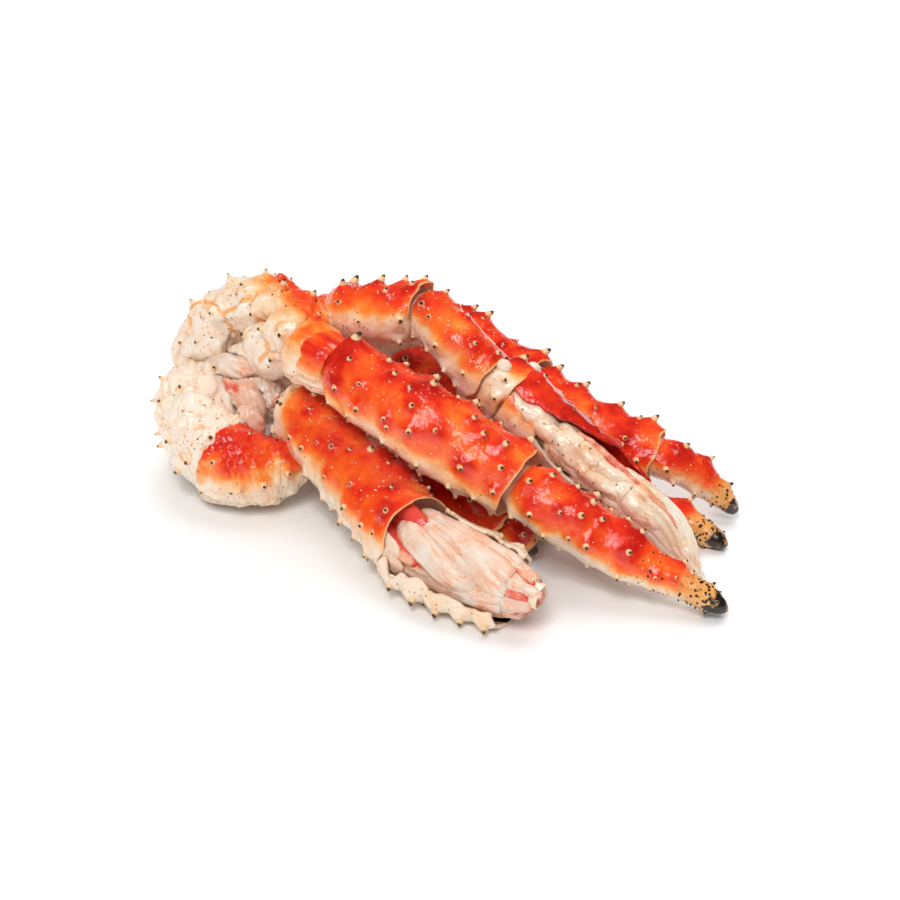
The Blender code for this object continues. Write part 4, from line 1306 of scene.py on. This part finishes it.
mouth = leg_a.spans["a_merus"][1]
meat_end = leg_a.spans["a_meat"][1]
core(leg_a, "a_meat", mouth - 14 * MM, meat_end - 3 * MM, 0.74, 41, 1.0)
bundles(leg_a, "a_meat", (mouth, meat_end), MEAT, 300, "a_bundle", (
    (((-0.20, 112), (0.4, 112), (0.92, 106)), 7.0, 7.5, 0.0),
    (((-0.05, 30), (0.30, 55), (0.64, 88)), 7.5, 9.0, 0.0),
    (((0.08, 6), (0.38, 32), (0.62, 56)), 3.4, 8.0, 0.1),
    (((0.36, 14), (0.64, 40), (0.88, 78)), 6.5, 8.5, 0.0),
    (((0.02, -10), (0.54, 8), (1.0, 46)), 7.5, 8.5, 0.05),
    (((-0.10, -38), (0.5, -40), (0.98, 0)), 8.0, 9.0, 0.0),
    (((0.50, -16), (0.78, 0), (1.0, 20)), 2.6, 7.5, 0.7),
    (((-0.25, 76), (0.0, 80), (0.24, 88)), 5.5, 6.5, 0.75),
    (((-0.20, 4), (-0.02, 6), (0.16, 10)), 5.0, 6.5, 1.1),
    (((0.55, 96), (0.8, 90), (1.02, 76)), 5.0, 7.0, 0.1),
    (((0.72, 28), (0.9, 36), (1.07, 40)), 3.0, 5.5, 0.25),
    (((0.70, 62), (0.86, 62), (1.0, 60)), 3.5, 6.0, 0.95),
    (((-0.1, -80), (0.5, -80), (0.9, -65)), 8.0, 7.0, 0.0),
    (((-0.1, 152), (0.5, 152), (0.94, 148)), 9.0, 7.0, 0.0),
    (((-0.1, -160), (0.5, -160), (0.94, -165)), 9.0, 7.0, 0.0),
    (((-0.1, -118), (0.5, -118), (0.96, -112)), 8.0, 6.0, 0.0)), sink=0.85, crumpled=0.09, hold=13 * MM)
bundles(leg_a, "a_meat", (mouth, meat_end), MEMBRANE, 360, "a_skin", (
    (((-0.16, 72), (-0.02, 74), (0.13, 82)), 4.5, 1.6, 0.0),
    (((-0.16, 96), (-0.02, 98), (0.17, 100)), 5.5, 1.6, 0.0),
    (((-0.16, 118), (0.0, 116), (0.12, 116)), 5.0, 1.6, 0.0)), sink=-0.6, blunt=0.9)
start, end = leg_c.spans["c_meat"]
core(leg_c, "c_meat", start - 8 * MM, leg_c.along("c_meat", 0.86), 0.78, 42, 0.4)
bundles(leg_c, "c_meat", (start, end), CRUST, 400, "c_lump", (
    (((-0.04, 50), (0.12, 50), (0.28, 54)), 6.5, 7.5, 0.0),
    (((0.20, 40), (0.33, 42), (0.47, 40)), 8.5, 9.0, 0.0),
    (((0.20, 80), (0.33, 80), (0.46, 78)), 6.5, 7.5, 0.0),
    (((0.33, 74), (0.46, 70), (0.60, 66)), 7.5, 8.5, 0.0),
    (((0.38, 32), (0.50, 30), (0.62, 34)), 6.0, 7.0, 0.1),
    (((0.47, 60), (0.60, 57), (0.75, 58)), 8.0, 8.5, 0.0),
    (((0.50, 100), (0.60, 98), (0.72, 94)), 6.0, 7.0, 0.0),
    (((0.56, 14), (0.64, 14), (0.74, 18)), 4.0, 6.0, 0.8)), sink=0.6, crumpled=0.05, blunt=0.8,
    drawn=1.6, crevice=(0.6, 0.0))
bundles(leg_c, "c_meat", (start, end), STRAND, 500, "c_strand", (
    (((0.60, 52), (0.80, 50), (0.99, 46)), 3.6, 4.6, 0.0),
    (((0.58, 30), (0.80, 32), (1.03, 38)), 3.2, 5.2, 0.0),
    (((0.58, 8), (0.80, 14), (0.97, 26)), 3.6, 4.4, 0.05),
    (((0.58, -14), (0.80, -8), (1.0, 12)), 3.4, 4.4, 0.0),
    (((0.62, 72), (0.82, 68), (1.03, 56)), 3.2, 4.6, 0.0),
    (((0.64, 92), (0.84, 88), (0.95, 74)), 3.4, 4.2, 0.0),
    (((0.55, 114), (0.8, 108), (0.99, 88)), 4.0, 3.8, 0.0),
    (((0.50, -38), (0.8, -32), (0.95, -12)), 4.2, 3.6, 0.0)), sink=0.62, blunt=0.95, crevice=(0.3, -0.5))
bundles(leg_c, "c_meat", (start, end), MEAT, 560, "c_streak", (
    (((0.26, 12), (0.44, 8), (0.62, 10)), 2.4, 6.4, 0.85),
    (((0.58, 20), (0.68, 22), (0.80, 26)), 1.8, 6.0, 0.8)), sink=0.55)
stub(leg_a, "a_meat", meat_end + 3.5 * MM, 36, 4.5 * MM)
knob(leg_c, "c_collar", 0.22, 6, (4.2, 3.6, 3.4), 11)
knob(leg_d, "d_carpus", 0.98, 12, (4.0, 3.4, 3.4), 12)

fused("shoulder", ("shoulder_dome", "shoulder_lobe", "shoulder_back"), 0.9, CARAPACE, "shell_cream", 36,
      shoulder_shape, shoulder_marks, LUMPS, (13, 5.0, shoulder_outside), 3)
for k, slot in enumerate(("shell_red", "shell_red", "shell_cream")):
    node = f"hip_a_{k + 1}"
    fused(node + "_band", (node,), 0.7, KINDS["red"][0], slot, 10, lumpy(80 + k), hip_marks,
          studs=(12, 4.2, hip_outside), seed=k)
fused("flesh_core_skin", ("flesh_core",), 0.7, MEAT, "meat_white", 8, creased(1.4, 0.5, 90), flap_marks)
fused("flesh_flap_skin", ("flesh_flap",), 0.6, MEAT, "meat_white", 6, creased(1.4, 0.4, 91), flap_marks)
for node in ("flesh_bulb_upper", "flesh_bulb_lower"):
    fused(node + "_skin", (node,), 0.6, PINK, "meat_pink", 6, creased(1.2, 0.35, 92, 1.0), plain_marks)
for node in ("petal_upper", "petal_side"):
    petal = creased(1.0, 0.25, 94, 1.5)
    fused(node + "_skin", (node,), 0.6, CARAPACE, "shell_cream", 6, petal, plain_marks)


# ---------------------------------------------------------------- camera, light and floor

AIM = Vector((12.6, -16.0, 45.0)) * MM
DISTANCE = 1.30
FRAME_WIDTH = 0.432         # what the picture spans at the aim, in metres
SENSOR = 36.0
FLOOR = 6.0                 # half the floor's width


def turned(name, data, azimuth, elevation):
    """A camera or a lamp that looks down from this azimuth and elevation, and the way to it."""
    made = linked(name, data)
    turn, lift = math.radians(azimuth), math.radians(elevation)
    out = Vector((math.sin(turn) * math.cos(lift), -math.cos(turn) * math.cos(lift), math.sin(lift)))
    made.rotation_euler = out.to_track_quat("Z", "Y").to_euler()
    return made, out


def camera():
    """The camera, aimed at the middle of the cluster."""
    data = bpy.data.cameras.new("camera")
    data.sensor_width = SENSOR
    data.lens = SENSOR * DISTANCE / FRAME_WIDTH
    data.clip_end = 50.0
    made, out = turned("camera", data, 45, 30)
    made.location = AIM + out * DISTANCE
    bpy.context.scene.camera = made


def sun(name, azimuth, elevation, wide, share, glossy=True):
    """Soft light from one side of the sky that gives the floor this share of white."""
    data = bpy.data.lights.new(name, "SUN")
    data.angle = math.radians(wide)
    data.energy = share * math.pi / math.sin(math.radians(elevation))
    turned(name, data, azimuth, elevation)[0].visible_glossy = glossy


def floor():
    """A wide white floor."""
    mesh = bpy.data.meshes.new("floor")
    corners = [(-FLOOR, -FLOOR, 0), (FLOOR, -FLOOR, 0), (FLOOR, FLOOR, 0), (-FLOOR, FLOOR, 0)]
    mesh.from_pydata(corners, [], [(0, 1, 2, 3)])
    white = Look("floor_white", Base_Color=(0.93, 0.93, 0.93, 1), Roughness=0.6, Specular_IOR_Level=0.2)
    mesh.materials.append(white.material)
    linked("floor", mesh)


def studio():
    """A dim white world round the scene."""
    world = bpy.data.worlds.new("studio")
    world.use_nodes = True
    background = world.node_tree.nodes["Background"].inputs
    background["Color"].default_value = (1, 1, 1, 1)
    background["Strength"].default_value = 0.05
    bpy.context.scene.world = world
    bpy.context.scene.view_settings.view_transform = "Standard"


camera()
floor()
studio()
sun("key", 30, 58, 26, 0.33)
sun("sparkle", 18, 66, 5, 0.06)
sun("back", 205, 58, 50, 0.42, glossy=False)
sun("fill", 5, 14, 40, 0.028)
sun("sky", 0, 89, 150, 0.38, glossy=False)
